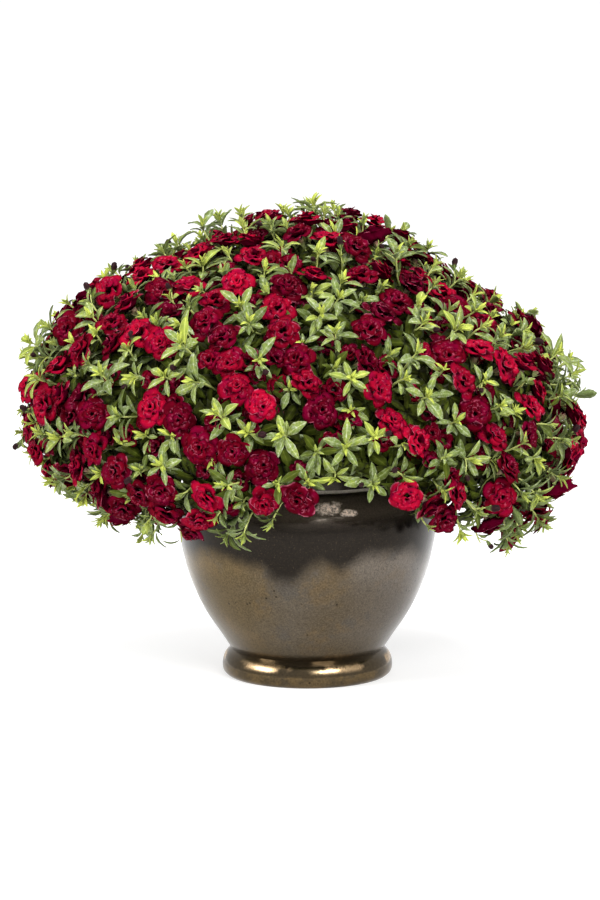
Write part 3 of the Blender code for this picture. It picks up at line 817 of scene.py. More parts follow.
def linked(name, data, into=None):
    """A new object of this data, in the scene or in a collection of shapes to plant."""
    obj = bpy.data.objects.new(name, data)
    (into or bpy.context.scene.collection).objects.link(obj)
    return obj


def shape_set(name, meshes):
    """A collection of shapes to plant, which the scene doesn't show. They are picked in the order given."""
    shapes = bpy.data.collections.new(name)
    for number, mesh in enumerate(meshes):
        linked(f"{name}_{number:02d}", mesh, shapes)
    return shapes


def thin_sheet(shape, rows, thickness):
    """A closed thin sheet over rings of (place, along, across), counter-clockwise seen from above."""
    last, count = len(rows) - 1, len(rows[0])
    top, bottom = [], []
    for r, row in enumerate(rows):
        if r in (0, last):
            top.append([shape.point(*spot, 0.5) for spot in row])
            bottom.append(top[r])
            continue
        top.append([])
        bottom.append([])
        for c, (place, along, across) in enumerate(row):
            top[r].append(shape.point(place, along, across, 0.0))
            before, after = row[(c - 1) % count][0], row[(c + 1) % count][0]
            inner, outer = rows[r - 1][c][0], rows[r + 1][c][0]
            normal = (outer - inner).cross(after - before).normalized()
            bottom[r].append(shape.point(place - normal * thickness, along, across, 1.0))
    for r in range(last):
        for c in range(count):
            d = (c + 1) % count
            shape.faces.append((top[r][c], top[r + 1][c], top[r + 1][d], top[r][d]))
            shape.faces.append((bottom[r][d], bottom[r + 1][d], bottom[r + 1][c], bottom[r][c]))


def tube(shape, profile, sides, tones):
    """A closed tube of (radius, height) rings down Z, with a pole at each end."""
    rings = []
    for (radius, height), tone in zip(profile, tones):
        rings.append([shape.point(ring_point(radius, tau * k / sides, height), tone) for k in range(sides)])
    top = shape.point((0, 0, profile[0][1]), tones[0])
    bottom = shape.point((0, 0, profile[-1][1]), tones[-1])
    for k in range(sides):
        after = (k + 1) % sides
        shape.faces += [(top, rings[0][k], rings[0][after]), (bottom, rings[-1][after], rings[-1][k])]
        for upper, lower in zip(rings, rings[1:]):
            shape.faces.append((upper[k], lower[k], lower[after], upper[after]))


def turned(name, profile, sides):
    """A closed solid of revolution, from its (radius, height) rings down from the top or the inside."""
    shape = Shape()
    tube(shape, profile, sides, [0.0] * len(profile))
    return linked(name, shape.mesh(name, plain=True))


def blade(shape, rows, thickness, stand, bend=(0.0, 0.0, 0.0), arch=0.0):
    """A closed leaf along X, one long, folded at its midrib. Bend is its sideways curve, droop and twist."""
    side_curve, droop, twist = bend

    def spot(along, aside, up):
        turn = twist * along
        sideways = aside * cos(turn) - up * sin(turn)
        upright = aside * sin(turn) + up * cos(turn)
        arched = arch * sin(pi * along) - droop * along * along
        return stand @ Vector((along, sideways + side_curve * along * along, upright + arched))

    base = shape.point(spot(0, 0, 0), 0.0, 0.0, 0.5)
    tip = shape.point(spot(1, 0, 0), 1.0, 0.5, 0.5)
    lines = []
    for along, half, lift in rows:
        corners = ((-half, lift, 1.0, 0.5), (0, 0, 0.0, 0.0), (half, lift, 1.0, 0.5),
                   (0, -thickness, 0.0, 1.0))
        lines.append([shape.point(spot(along, aside, up), along, across, under)
                      for aside, up, across, under in corners])
    sides = ((0, 1), (1, 2), (2, 3), (3, 0))
    for near, far in zip(lines, lines[1:]):
        shape.faces += [(near[a], far[a], far[b], near[b]) for a, b in sides]
    for a, b in sides:
        shape.faces += [(base, lines[0][a], lines[0][b]), (lines[-1][a], tip, lines[-1][b])]


# Geometry Nodes: one tree plants shapes on points, and one runs stalks along paths


def grow_tree(name, inputs, values, parts):
    """A tree of named parts, not yet joined, with a part for each value it reads at its guide's points."""
    tree = bpy.data.node_groups.new(name, "GeometryNodeTree")
    for label, kind in {"Geometry": "Geometry", **inputs, "Growth": "Float", "Finish": "Material"}.items():
        tree.interface.new_socket(label, in_out="INPUT", socket_type=f"NodeSocket{kind}")
    tree.interface.new_socket("Geometry", in_out="OUTPUT", socket_type="NodeSocketGeometry")
    ends = {"given": "NodeGroupInput", "real": "GeometryNodeRealizeInstances",
            "finish": "GeometryNodeSetMaterial", "result": "NodeGroupOutput"}
    for label, kind in {**ends, **parts}.items():
        tree.nodes.new(kind).name = label
    for label, kind in values.items():
        node = tree.nodes.new("GeometryNodeInputNamedAttribute")
        node.name, node.data_type = label, kind
        node.inputs["Name"].default_value = label
    return tree


def join_parts(tree, *links):
    """Joins a tree's parts by links from an output to an input, and ends it with the finish."""
    for link in (*links, "real.Geometry > finish.Geometry", "given.Finish > finish.Material",
                 "finish.Geometry > result.Geometry"):
        (start, output), (end, entry) = (side.split(".") for side in link.split(" > "))
        tree.links.new(tree.nodes[start].outputs[output], tree.nodes[end].inputs[entry])
    return tree


def planting_tree():
    """Each point gets the shape that its kind picks, turned and scaled as its turn and size say."""
    tree = grow_tree(
        "plant_shapes", {"Shapes": "Collection"},
        {"turn": "FLOAT_VECTOR", "size": "FLOAT_VECTOR", "kind": "INT"},
        {"shapes": "GeometryNodeCollectionInfo", "rotate": "FunctionNodeEulerToRotation",
         "grow": "ShaderNodeVectorMath", "plant": "GeometryNodeInstanceOnPoints"})
    tree.nodes["grow"].operation = "SCALE"
    for part, label in (("shapes", "Separate Children"), ("shapes", "Reset Children"),
                        ("plant", "Pick Instance")):
        tree.nodes[part].inputs[label].default_value = True
    return join_parts(
        tree, "given.Shapes > shapes.Collection", "turn.Attribute > rotate.Euler",
        "size.Attribute > grow.Vector", "given.Growth > grow.Scale", "given.Geometry > plant.Points",
        "shapes.Instances > plant.Instance", "kind.Attribute > plant.Instance Index",
        "rotate.Rotation > plant.Rotation", "grow.Vector > plant.Scale", "plant.Instances > real.Geometry")


def stalk_tree():
    """A round stalk along each chain of edges, as thick as its points' girth says."""
    tree = grow_tree(
        "run_stalks", {"Sides": "Int"}, {"girth": "FLOAT"},
        {"line": "GeometryNodeMeshToCurve", "thick": "GeometryNodeSetCurveRadius",
         "circle": "GeometryNodeCurvePrimitiveCircle", "tube": "GeometryNodeCurveToMesh",
         "smooth": "GeometryNodeSetShadeSmooth"})
    tree.nodes["tube"].inputs["Fill Caps"].default_value = True
    return join_parts(
        tree, "given.Geometry > line.Mesh", "line.Curve > thick.Curve", "girth.Attribute > thick.Radius",
        "given.Sides > circle.Resolution", "given.Growth > circle.Radius", "thick.Curve > tube.Curve",
        "circle.Curve > tube.Profile Curve", "girth.Attribute > tube.Scale", "tube.Mesh > smooth.Geometry",
        "smooth.Geometry > real.Geometry")


PLANTING_TREE = planting_tree()
STALK_TREE = stalk_tree()


def evaluated(piece):
    """The plain mesh that a piece's modifiers make. It takes the place of its own mesh."""
    graph = bpy.context.evaluated_depsgraph_get()
    mesh = bpy.data.meshes.new_from_object(piece.evaluated_get(graph))
    piece.modifiers.clear()
    piece.data = mesh
    return mesh


def grown(name, places, edges, values, tree, settings):
    """A new piece that a tree makes from a guide of places and values. Of the values it keeps the tint."""
    guide = point_mesh(name, places, edges, [], values)
    piece = linked(name, guide)
    modifier = piece.modifiers.new("grow", "NODES")
    modifier.node_group = tree
    settings = {"Growth": 1.0, **settings}
    for item in tree.interface.items_tree:
        if item.in_out == "INPUT" and item.name in settings:
            modifier[item.identifier] = settings[item.name]
    mesh = evaluated(piece)
    bpy.data.meshes.remove(guide)
    for label in values:
        if label != "tint" and label in mesh.attributes:
            mesh.attributes.remove(mesh.attributes[label])
    return piece


class Planting:
    """Spots for shapes: each has a place, a turn, a size, a kind and a tint."""

    def __init__(self):
        self.places, self.turns, self.sizes, self.kinds, self.tints = [], [], [], [], []

    def add(self, place, turn, size, kind, tint):
        self.places.append(place)
        self.turns += tuple(turn.to_euler())
        self.sizes += (size, size, size) if isinstance(size, float) else size
        self.kinds.append(kind)
        self.tints.append(tint)

    def stand(self, bloom, kind, tint):
        """A shape of a bloom's size in its place."""
        self.add(bloom.place, bloom.frame().to_3x3(), bloom.radius, kind, tint)

    def piece(self, name, shapes, finish):
        values = {"turn": ("FLOAT_VECTOR", self.turns), "size": ("FLOAT_VECTOR", self.sizes),
                  "kind": ("INT", self.kinds), "tint": ("FLOAT", self.tints)}
        return grown(name, self.places, [], values, PLANTING_TREE, {"Shapes": shapes, "Finish": finish})


class Stalks:
    """Paths for stalks: each point has a place, a girth and a tint."""

    def __init__(self):
        self.places, self.edges, self.girths, self.tints = [], [], [], []

    def add(self, path, girths, tints):
        """One stalk, whose girth and tint go evenly from their first value to their last."""
        start, last = len(self.places), len(path) - 1
        self.places += path
        for i in range(len(path)):
            share = i / last
            self.girths.append(girths[0] + (girths[1] - girths[0]) * share)
            self.tints.append(tints[0] + (tints[1] - tints[0]) * share)
        self.edges += [(start + i, start + i + 1) for i in range(last)]

    def piece(self, name, sides, finish):
        values = {"girth": ("FLOAT", self.girths), "tint": ("FLOAT", self.tints)}
        return grown(name, self.places, self.edges, values, STALK_TREE, {"Sides": sides, "Finish": finish})


# Fine blooms, leaves and buds


def petal_ring(shape, ring, dice):
    """One ruffled ring of petals joined at their foot, with a radius of one."""
    rim = ring.rim + dice.uniform(-RIM_SPREAD, RIM_SPREAD)
    stretch = dice.uniform(1 - REACH_SPREAD, 1 + REACH_SPREAD)
    lobes = range(ring.lobes)
    reaches = [ring.reach * dice.uniform(1 - LOBE_SPREAD, 1 + LOBE_SPREAD / 2) for _ in lobes]
    lifts = [dice.uniform(-1, 1) * ring.ruffle for _ in lobes]
    folds = [dice.uniform(*FOLD_SHARE) * dice.choice((-1, 1)) * ring.ruffle for _ in lobes]
    phase = dice.uniform(0, tau)
    columns = ring.lobes * ring.columns
    sheet = []
    for row in range(ring.rows + 1):
        t = row / ring.rows
        rise = 1 - (1 - t) ** ring.lift
        line = []
        for column in range(columns):
            lobe, part = divmod(column, ring.columns)
            inside = part / ring.columns
            bulge = sin(pi * inside) ** LOBE_ROUNDNESS
            angle = tau * (column + ring.turn * ring.columns) / columns
            edge = ring.notch + (1 - ring.notch) * bulge
            radius = ring.throat + (reaches[lobe] * edge - ring.throat) * t
            height = ring.floor + (rim - ring.floor) * rise - ring.curl * t**4 * bulge
            height += t * t * (lifts[lobe] * bulge + folds[lobe] * sin(tau * inside))
            height += t**3 * RIPPLE * ring.ruffle * sin(RIPPLES * angle + phase)
            place = Vector((radius * cos(angle) * stretch, radius * sin(angle) / stretch, height))
            line.append((place, t, abs(2 * inside - 1)))
        sheet.append(line)
    thin_sheet(shape, sheet, PETAL_THICKNESS)


def bloom_mesh(rings, dice):
    """Rings of petals inside each other, each tipped and shifted a little its own way."""
    shape = Shape()
    for ring in rings:
        first = len(shape.points)
        petal_ring(shape, ring, dice)
        tip = Euler((dice.uniform(-RING_TILT, RING_TILT), dice.uniform(-RING_TILT, RING_TILT), 0)).to_matrix()
        shift = Vector((dice.uniform(-RING_SHIFT, RING_SHIFT), dice.uniform(-RING_SHIFT, RING_SHIFT), 0))
        for index in range(first, len(shape.points)):
            shape.points[index] = tip @ shape.points[index] + shift * (1 - ring.reach)
    return shape.mesh("bloom")


def bloom_shapes(name, rings, kinds):
    dice = random.Random(BLOOM_SEED)
    return shape_set(name, [bloom_mesh(rings, dice) for _ in range(kinds)])


def sepal(shape, rows, thickness, height, angle, tilt, length):
    """One leaf of a calyx, out from the axis at this height."""
    turn = Matrix.Rotation(angle, 4, "Z") @ Matrix.Rotation(tilt, 4, "Y")
    blade(shape, rows, thickness, Matrix.Translation((0, 0, height)) @ turn @ Matrix.Scale(length, 4))


def calyx_mesh():
    """The pale tube behind a bloom and the narrow sepals round its foot."""
    shape = Shape()
    tube(shape, TUBE_PROFILE, TUBE_SIDES, TUBE_TONES)
    for k in range(SEPALS):
        sepal(shape, SEPAL_ROWS, SEPAL_THICKNESS, CALYX_HEIGHT, tau * k / SEPALS, SEPAL_TILT, SEPAL_LENGTH)
    return shape.mesh("calyx")


def leaf_shapes():
    """Full leaves that bend in their own ways, and as many plainer ones for the shade inside."""
    meshes = []
    for rows in (LEAF_ROWS, SMALL_LEAF_ROWS):
        for bend in LEAF_BENDS:
            shape = Shape()
            blade(shape, rows, LEAF_FINE_THICKNESS, Matrix(), bend, LEAF_ARCH)
            meshes.append(shape.mesh("leaf"))
    return shape_set("leaf_shapes", meshes)


def bud_mesh(dice):
    """A furled dark bud over its sepals, one long up Z."""
    shape = Shape()
    tube(shape, (*BUD_TOP, (BUD_GIRTH, dice.uniform(*BUD_SWELL)), *BUD_FOOT), BUD_SIDES, BUD_TONES)
    for index, point in enumerate(shape.points):
        wave = cos(BUD_FOLDS * atan2(point.y, point.x) + BUD_TWIST * point.z)
        swelling = 1 + BUD_FOLD_DEPTH * wave + dice.uniform(-BUD_LUMPS, BUD_LUMPS)
        point.x *= swelling
        point.y *= swelling
        shape.values["across"][index] = (1 + wave) / 2
    first = len(shape.points)
    for k in range(SEPALS):
        tilt = radians(dice.uniform(*BUD_SEPAL_TILT))
        sepal(shape, BUD_SEPAL_ROWS, BUD_SEPAL_THICKNESS, BUD_SEPAL_HEIGHT, tau * k / SEPALS, tilt,
              BUD_SEPAL_LENGTH)
    shape.values["along"][first:] = [1.0] * (len(shape.points) - first)
    return shape.mesh("bud")


# Shoots


def leaf_frame(direction, upward):
    """The turn that lays a leaf along a direction, with its upper face towards upward."""
    x = direction.normalized()
    y = upward.cross(x)
    if y.length < PARALLEL:
        y = x.orthogonal()
    y.normalize()
    return Matrix((x, y, x.cross(y))).transposed()


def straightened(path_at):
    """The path at the least straightening that keeps it from hanging under the skirt."""
    for share in STALK_STRAIGHTER:
        path = path_at(share)
        if not any(below_skirt(place) for place in path[1:-1]):
            break
    return path


class Shoot:
    """A stalk from the root of its patch to a whorl of leaves at the mound's skin."""

    def __init__(self, hub, facing, patch, points=STALK_POINTS):
        self.hub, self.facing = hub, facing
        self.inner = points == INNER_POINTS
        root = patch.root
        pull = (hub - root).length * STALK_BEND
        self.path = straightened(lambda share: curve(root, root + patch.facing * pull * share,
                                                     hub - facing * pull * share, hub, points))

    def down(self, distance):
        """(place, direction towards the tip) this far down the stalk from its hub, or None past its root."""
        for outer, inner in zip(self.path[::-1], self.path[-2::-1]):
            step = (outer - inner).length
            if distance <= step:
                return outer.lerp(inner, distance / step), (outer - inner).normalized()
            distance -= step
        return None


class Foliage:
    """All leaves of one leafy stem, kept clear of the blooms."""

    def __init__(self, blooms, tree):
        self.planting, self.blooms, self.tree = Planting(), blooms, tree

    def blocked(self, place, kept):
        """True inside the space of a bloom's petals. What isn't kept leaves more room in front of it."""
        for _, index, _ in self.tree.find_range(place, BLOOM_RADIUS[1]):
            bloom = self.blooms[index]
            offset = place - bloom.place
            height = offset.dot(bloom.facing)
            aside = (offset - bloom.facing * height).length
            if aside < bloom.radius * BLOOM_KEEP_OUT and -BLOOM_BACK < height < BLOOM_FRONT[kept]:
                return True
        return False

    def leaf(self, base, tip, upward, width, kind, tint, kept=False):
        if self.blocked(base.lerp(tip, LEAF_MIDDLE), kept) or self.blocked(tip, kept):
            return
        if kept or not below_skirt(tip, SKIRT_SPARE):
            length = (tip - base).length
            turn = leaf_frame(tip - base, upward)
            self.planting.add(base, turn, (length, length * width, length), kind, tint)


def whorl(foliage, shoot, spin, leaves, dice, tint, kept=False):
    """The leaves of a whorl, each given as (length, rise), and the small ones that stand at its tip."""
    stand = upright_frame(shoot.hub, shoot.facing, spin)
    for i, (length, rise) in enumerate(leaves):
        angle = tau * i / len(leaves) + dice.uniform(-WHORL_SWING, WHORL_SWING)
        length *= dice.uniform(*WHORL_LENGTH)
        base = stand @ ring_point(HUB_RADIUS / 2, angle, HUB_TIP * dice.uniform(*WHORL_START))
        tip = stand @ ring_point(length, angle, length * rise)
        foliage.leaf(base, tip, shoot.facing, dice.uniform(*WHORL_WIDTH), dice.randrange(LEAF_KINDS),
                     tint + dice.uniform(*WHORL_TINT), kept)
    for i in range(TIP_LEAVES):
        angle = (i + dice.random()) * GOLDEN_ANGLE
        length = dice.uniform(*TIP_LENGTH)
        tilt = dice.uniform(*TIP_TILT)
        base = stand @ Vector((0, 0, HUB_TIP / 2))
        tip = stand @ ring_point(length * sin(tilt), angle, HUB_TIP / 2 + length * cos(tilt))
        face = stand.to_3x3() @ ring_point(-1, angle, TIP_FACE)
        foliage.leaf(base, tip, face, dice.uniform(*TIP_WIDTH), dice.randrange(LEAF_KINDS),
                     min(1.0, tint + dice.uniform(*TIP_TINT)), kept)


def stalk_leaves(foliage, shoot, dice, tint):
    """Leaves that stand out alternately down the stalk, darker towards its root as painted shade."""
    distance = dice.uniform(*STALK_STEP)
    angle = dice.uniform(0, tau)
    for _ in range(STALK_LEAVES):
        spot = shoot.down(distance)
        if spot is None:
            return
        place, direction = spot
        out = direction.orthogonal().normalized()
        out.rotate(Matrix.Rotation(angle, 3, direction))
        tilt = dice.uniform(*STALK_LEAF_TILT)
        tip = place + (direction * cos(tilt) + out * sin(tilt)) * dice.uniform(*STALK_LEAF_LENGTH)
        kind = dice.randrange(LEAF_KINDS) + (LEAF_KINDS if distance > DEEP_LEAF else 0)
        # Painted shade: the deeper a leaf sits down the stalk, the darker its tint.
        shade = STALK_SHADE + distance * STALK_SHADE_DEEPENING
        foliage.leaf(place, tip, direction, dice.uniform(*STALK_LEAF_WIDTH), kind,
                     max(0.0, tint - shade + dice.uniform(*STALK_LEAF_TINT)))
        angle += GOLDEN_ANGLE + dice.uniform(*STALK_LEAF_TURN)
        distance += dice.uniform(*STALK_STEP)


def inner_shoots(patch, dice):
    """Shoots in the shade under the others."""
    found = []
    for _ in range(INNER_TRIES):
        theta, azimuth = patch.place(dice.random(), dice.random())
        hub = mound_point(theta, azimuth, dice.uniform(*INNER_DEPTH))
        if any((hub - shoot.hub).length < INNER_ROOM for shoot in found):
            continue
        facing = (mound_normal(theta, azimuth) + drawn_lean(ROSETTE_LEAN, dice)).normalized()
        found.append(Shoot(hub, facing, patch, INNER_POINTS))
    return found


def inner_leaves(foliage, shoot, dice):
    stand = upright_frame(shoot.hub, shoot.facing, dice.uniform(0, tau))
    for i in range(INNER_LEAVES):
        angle = tau * (i + dice.uniform(*INNER_SWING)) / INNER_LEAVES
        length = dice.uniform(*INNER_LENGTH)
        tip = stand @ ring_point(length, angle, length * dice.uniform(*INNER_RISE))
        # Painted shade: inner leaves get the darkest tints of the leaf ramp, near black.
        foliage.leaf(shoot.hub, tip, shoot.facing, dice.uniform(*INNER_WIDTH),
                     LEAF_KINDS + dice.randrange(LEAF_KINDS), dice.uniform(*INNER_SHADE_TINT))


def extra_shoots(patch, hubs, tree, dice):
    """Smaller shoots in the room that the rosettes and the blooms leave."""
    found = []
    for _ in range(EXTRA_TRIES):
        theta, azimuth = patch.place(dice.uniform(*EXTRA_SHARE), dice.uniform(*EXTRA_SHARE))
        hub = mound_point(theta, azimuth, dice.uniform(*EXTRA_DEPTH))
        facing = (mound_normal(theta, azimuth) + drawn_lean(ROSETTE_LEAN, dice)).normalized()
        if any((hub - other).length < EXTRA_ROOM for other in hubs) or tree.find_range(hub, EXTRA_BLOOM_ROOM):
            continue
        hubs.append(hub)
        found.append(Shoot(hub, facing, patch))
    return found


# Materials: what each works out at every point, from the values along, across, under and tint


def set_inputs(node, inputs):
    """Sets inputs of a node, each to a Value or to a plain number, vector or colour."""
    for label, given in inputs.items():
        if isinstance(given, Value):
            given.tree.links.new(given.socket, node.inputs[label])
        else:
            node.inputs[label].default_value = given


def node_value(tree, kind, inputs, output, **settings):
    """The Value that a new node puts out."""
    node = tree.nodes.new(kind)
    for label, setting in settings.items():
        setattr(node, label, setting)
    set_inputs(node, inputs)
    return Value(node.outputs[output])


class Value:
    """A number or a colour that a material works out. It adds, subtracts and multiplies as numbers do."""

    def __init__(self, socket):
        self.socket, self.tree = socket, socket.id_data

    def sum(self, operation, *others):
        inputs = dict(enumerate((self, *others)))
        return node_value(self.tree, "ShaderNodeMath", inputs, "Value", operation=operation)

    def __add__(self, other):
        return self.sum("ADD", other)

    def __sub__(self, other):
        return self.sum("SUBTRACT", other)

    def __mul__(self, other):
        return self.sum("MULTIPLY", other)

    def spread(self, low, high, to_low=0.0, to_high=1.0, kind="SMOOTHSTEP"):
        """This value's range from low to high, taken over to another range and held at its ends."""
        inputs = {"Value": self, "From Min": low, "From Max": high, "To Min": to_low, "To Max": to_high}
        return node_value(self.tree, "ShaderNodeMapRange", inputs, "Result", interpolation_type=kind)

    def even(self, to_low, to_high):
        """The middle of a cloud, taken over to another range without softening its ends."""
        return self.spread(0.3, 0.7, to_low, to_high, "LINEAR")

    def ramp(self, stops):
        colour = node_value(self.tree, "ShaderNodeValToRGB", {"Fac": self}, "Color")
        elements = colour.socket.node.color_ramp.elements
        while len(elements) < len(stops):
            elements.new(0.5)
        for element, (position, shade) in zip(elements, stops):
            element.position = position
            element.color = (*shade, 1)
        return colour

    def under(self, share, over, mode="MIX"):
        """This colour with a share of another one over it."""
        second = over if isinstance(over, Value) else (*over, 1)
        return node_value(self.tree, "ShaderNodeMix", {0: share, 6: self, 7: second}, 2,
                          data_type="RGBA", blend_type=mode)


class Look:
    """A new material, with the values that it can read off a piece."""

    def __init__(self, name):
        self.material = bpy.data.materials.new(name)
        self.material.use_nodes = True
        self.tree = self.material.node_tree
        self.place = node_value(self.tree, "ShaderNodeTexCoord", {}, "Object")

    def value(self, label):
        return node_value(self.tree, "ShaderNodeAttribute", {}, "Fac", attribute_name=label)

    def cloud(self, scale, detail=3.0, roughness=0.55, stretch=(1, 1, 1)):
        """Noise over the piece, on Object coordinates in metres."""
        place = node_value(self.tree, "ShaderNodeMapping", {"Vector": self.place, "Scale": stretch}, "Vector")
        inputs = {"Vector": place, "Scale": scale, "Detail": detail, "Roughness": roughness}
        return node_value(self.tree, "ShaderNodeTexNoise", inputs, "Fac")

    def made(self, surface, height, strength, distance=0.0004):
        """The material with this surface, and with bumps as a value gives their height."""
        inputs = {"Height": height, "Strength": strength, "Distance": distance}
        bumps = node_value(self.tree, "ShaderNodeBump", inputs, "Normal")
        set_inputs(self.tree.nodes["Principled BSDF"], {**surface, "Normal": bumps})
        return self.material


def petal_material():
    """Velvety ruby petals: wine behind, crimson at the rim, with faint pale streaks. The throat is darker,
    partly its own colour and partly painted shade, and a few rims carry a pale painted highlight.
    """
    look = Look("velvet_petals")
    along = look.value("along")
    face = (look.value("tint") + look.cloud(150, 2.0) * 0.30).ramp(PETAL["face"])
    face = face.under(look.cloud(110, 1.0).spread(0.45, 0.70, 0.0, 0.6), PETAL["magenta"])
    # Darker throat: partly the bloom's own colour, partly painted shade deep in the bloom.
    face = face.under(along.spread(0.0, 0.40, 1.0, 0.0), PETAL["throat"])
    # Painted highlight: a few petal rims are painted pale pink, as if catching the light.
    rim = along.spread(0.88, 1.0, 0.0, 0.90) * look.cloud(130, 1.0).spread(0.56, 0.64)
    face = face.under(rim, PETAL["rim"])
    middle = along.spread(0.15, 0.42) * along.spread(0.50, 0.80, 1.0, 0.0)
    streaks = look.value("across").spread(0.55, 1.0, 1.0, 0.0) * look.cloud(450, 1.0).spread(0.52, 0.64)
    face = face.under(middle * streaks * 0.4, PETAL["streaks"])
    face = face.under(look.value("under").spread(0.55, 0.75), PETAL["back"])
    return look.made({"Base Color": face, "Roughness": 0.65, "Specular IOR Level": 0.01},
                     look.cloud(1500, 2.0), 0.10)


def leaf_material():
    """Leaves from dark sage inside, darkened to near black deep in the mound as painted shade, to lime at the
    tips, with pale margins and midribs and a soft bloom.
    """
    look = Look("frosted_leaves")
    tint, across = look.value("tint"), look.value("across")
    # The tint says how young a leaf is and, for deep leaves, carries painted shade.
    age_and_shade = tint + look.cloud(160, 2.0).even(-0.10, 0.10) + look.value("along").spread(0.0, 0.4, 0.12, 0.0)
    face = age_and_shade.ramp(LEAF["face"])
    grown = tint.spread(0.25, 0.6, 0.0, 0.45) * tint.spread(0.68, 0.85, 1.0, 0.2)
    face = face.under(look.cloud(380, 3.0, 0.65).spread(0.42, 0.75) * grown, LEAF["frost"])
    margin = across.spread(0.72, 1.0) * 0.60
    pale = margin.sum("MAXIMUM", across.spread(0.0, 0.16, 1.0, 0.0) * 0.70)
    face = face.under(pale, face.under(1.0, LEAF["paler"], "MULTIPLY"))
    face = face.under(look.value("under").spread(0.55, 0.75) * 0.5, LEAF["back"])
    return look.made({"Base Color": face, "Roughness": 0.55, "Specular IOR Level": 0.05,
                      "Sheen Weight": 0.02, "Sheen Roughness": 0.5}, look.cloud(1300, 2.0), 0.3)


def stalk_material():
    """Stalks, brown and woody at their root and fresh green at their tip."""
    look = Look("green_stalks")
    fresh = look.value("tint") + look.cloud(120).even(-0.08, 0.08)
    return look.made({"Base Color": fresh.ramp(STALK), "Roughness": 0.6},
                     look.cloud(700, 2.0, 0.6, (1, 1, 0.25)), 0.4, 0.0005)


def calyx_material():
    """Pale yellow-green tubes with wine-flushed veins, and greener sepals."""
    look = Look("pale_calyces")
    veins = look.cloud(600, 1.0).spread(0.45, 0.65, 0.0, 0.5)
    colour = look.value("along").ramp(CALYX).under(veins, CALYX_VEINS)
    return look.made({"Base Color": colour, "Roughness": 0.6}, look.cloud(900), 0.3)


def bud_material():
    """Near-black wine buds over green sepals, with lighter ridges on their folds: painted light."""
    look = Look("dark_buds")
    along = look.value("along")
    # Painted light and shade: the ridges of a bud's folds are lighter and its furrows stay near black.
    folds = look.value("across").spread(0.45, 1.0, 0.0, 0.8) * along.spread(0.3, 0.6, 1.0, 0.0)
    colour = along.ramp(BUD).under(folds, BUD_LIT_RIDGE).under(1.0, look.cloud(500).even(0.7, 1.3), "MULTIPLY")
    return look.made({"Base Color": colour, "Roughness": 0.7, "Specular IOR Level": 0.12},
                     look.cloud(1000), 0.3)


def lower_glaze(look, x, z):
    """Brown below the border, greyer to the right and golden to the left, partly painted reflection of the
    lights round it, and darker at the foot.
    """
    colour = look.cloud(13).spread(0.3, 0.7).ramp(GLAZE["drift"])
    # Greyer to the right and golden to the left: partly the glaze's own colour, partly painted reflection of
    # the lights.
    colour = colour.under(x.spread(0.01, 0.10, 0.0, 0.8), GLAZE["grey"])
    colour = colour.under(x.spread(-0.09, 0.01, 0.75, 0.0), GLAZE["golden"])
    ochre = look.cloud(30, 4.0, 0.65).spread(0.50, 0.66, 0.0, 0.50) * x.spread(0.00, 0.06, 1.0, 0.35)
    colour = colour.under(ochre, GLAZE["ochre"])
    colour = colour.under(look.cloud(22, 4.0, 0.65).spread(0.36, 0.48, 0.50, 0.0), GLAZE["smoky"])
    colour = colour.under(z.spread(*GLAZE_FOOT, 0.8, 0.0), GLAZE["foot"])
    sole = z.spread(*GLAZE_SOLE, 0.8, 0.0) * look.cloud(55, 4.0, 0.65).spread(0.40, 0.60)
    return colour.under(sole, GLAZE["sole"])


def glaze_border(look, around, z):
    """How much of the dark top shows, above its wavy and ragged border. The dark top is partly the glaze's
    own colour and partly painted reflection and shadow of the mound.
    """
    border = z - ((around - GLAZE_TURN) * GLAZE_WAVES).sum("COSINE") * GLAZE_WAVE
    for azimuth, half_width, height in GLAZE_TONGUES:
        border -= (around - azimuth).sum("ABSOLUTE").spread(0.02, half_width, height, 0.0)
    border += look.cloud(34, 4.0, 0.6).even(-0.0035, 0.0035)
    return border.spread(*GLAZE_BORDER)


def painted_highlight_patches(look, x, z, front):
    """Speckled patches of painted highlight: a warm shine of light painted on the front of the shoulder."""
    ragged = look.cloud(130).even(-0.6, 0.6)
    painted_highlight = 0.0
    for middle, height, half_width, half_height in GLAZE_PAINTED_HIGHLIGHTS:
        aside, above = (x - middle) * (1 / half_width), (z - height) * (1 / half_height)
        off = aside * aside + above * above + ragged
        painted_highlight = off.spread(0.1, 1.1, 1.0, 0.0).sum("MAXIMUM", painted_highlight)
    return painted_highlight * front.spread(0.0, 0.05) * look.cloud(430, 3.0, 0.6).spread(0.36, 0.54, 0.30, 1.0)


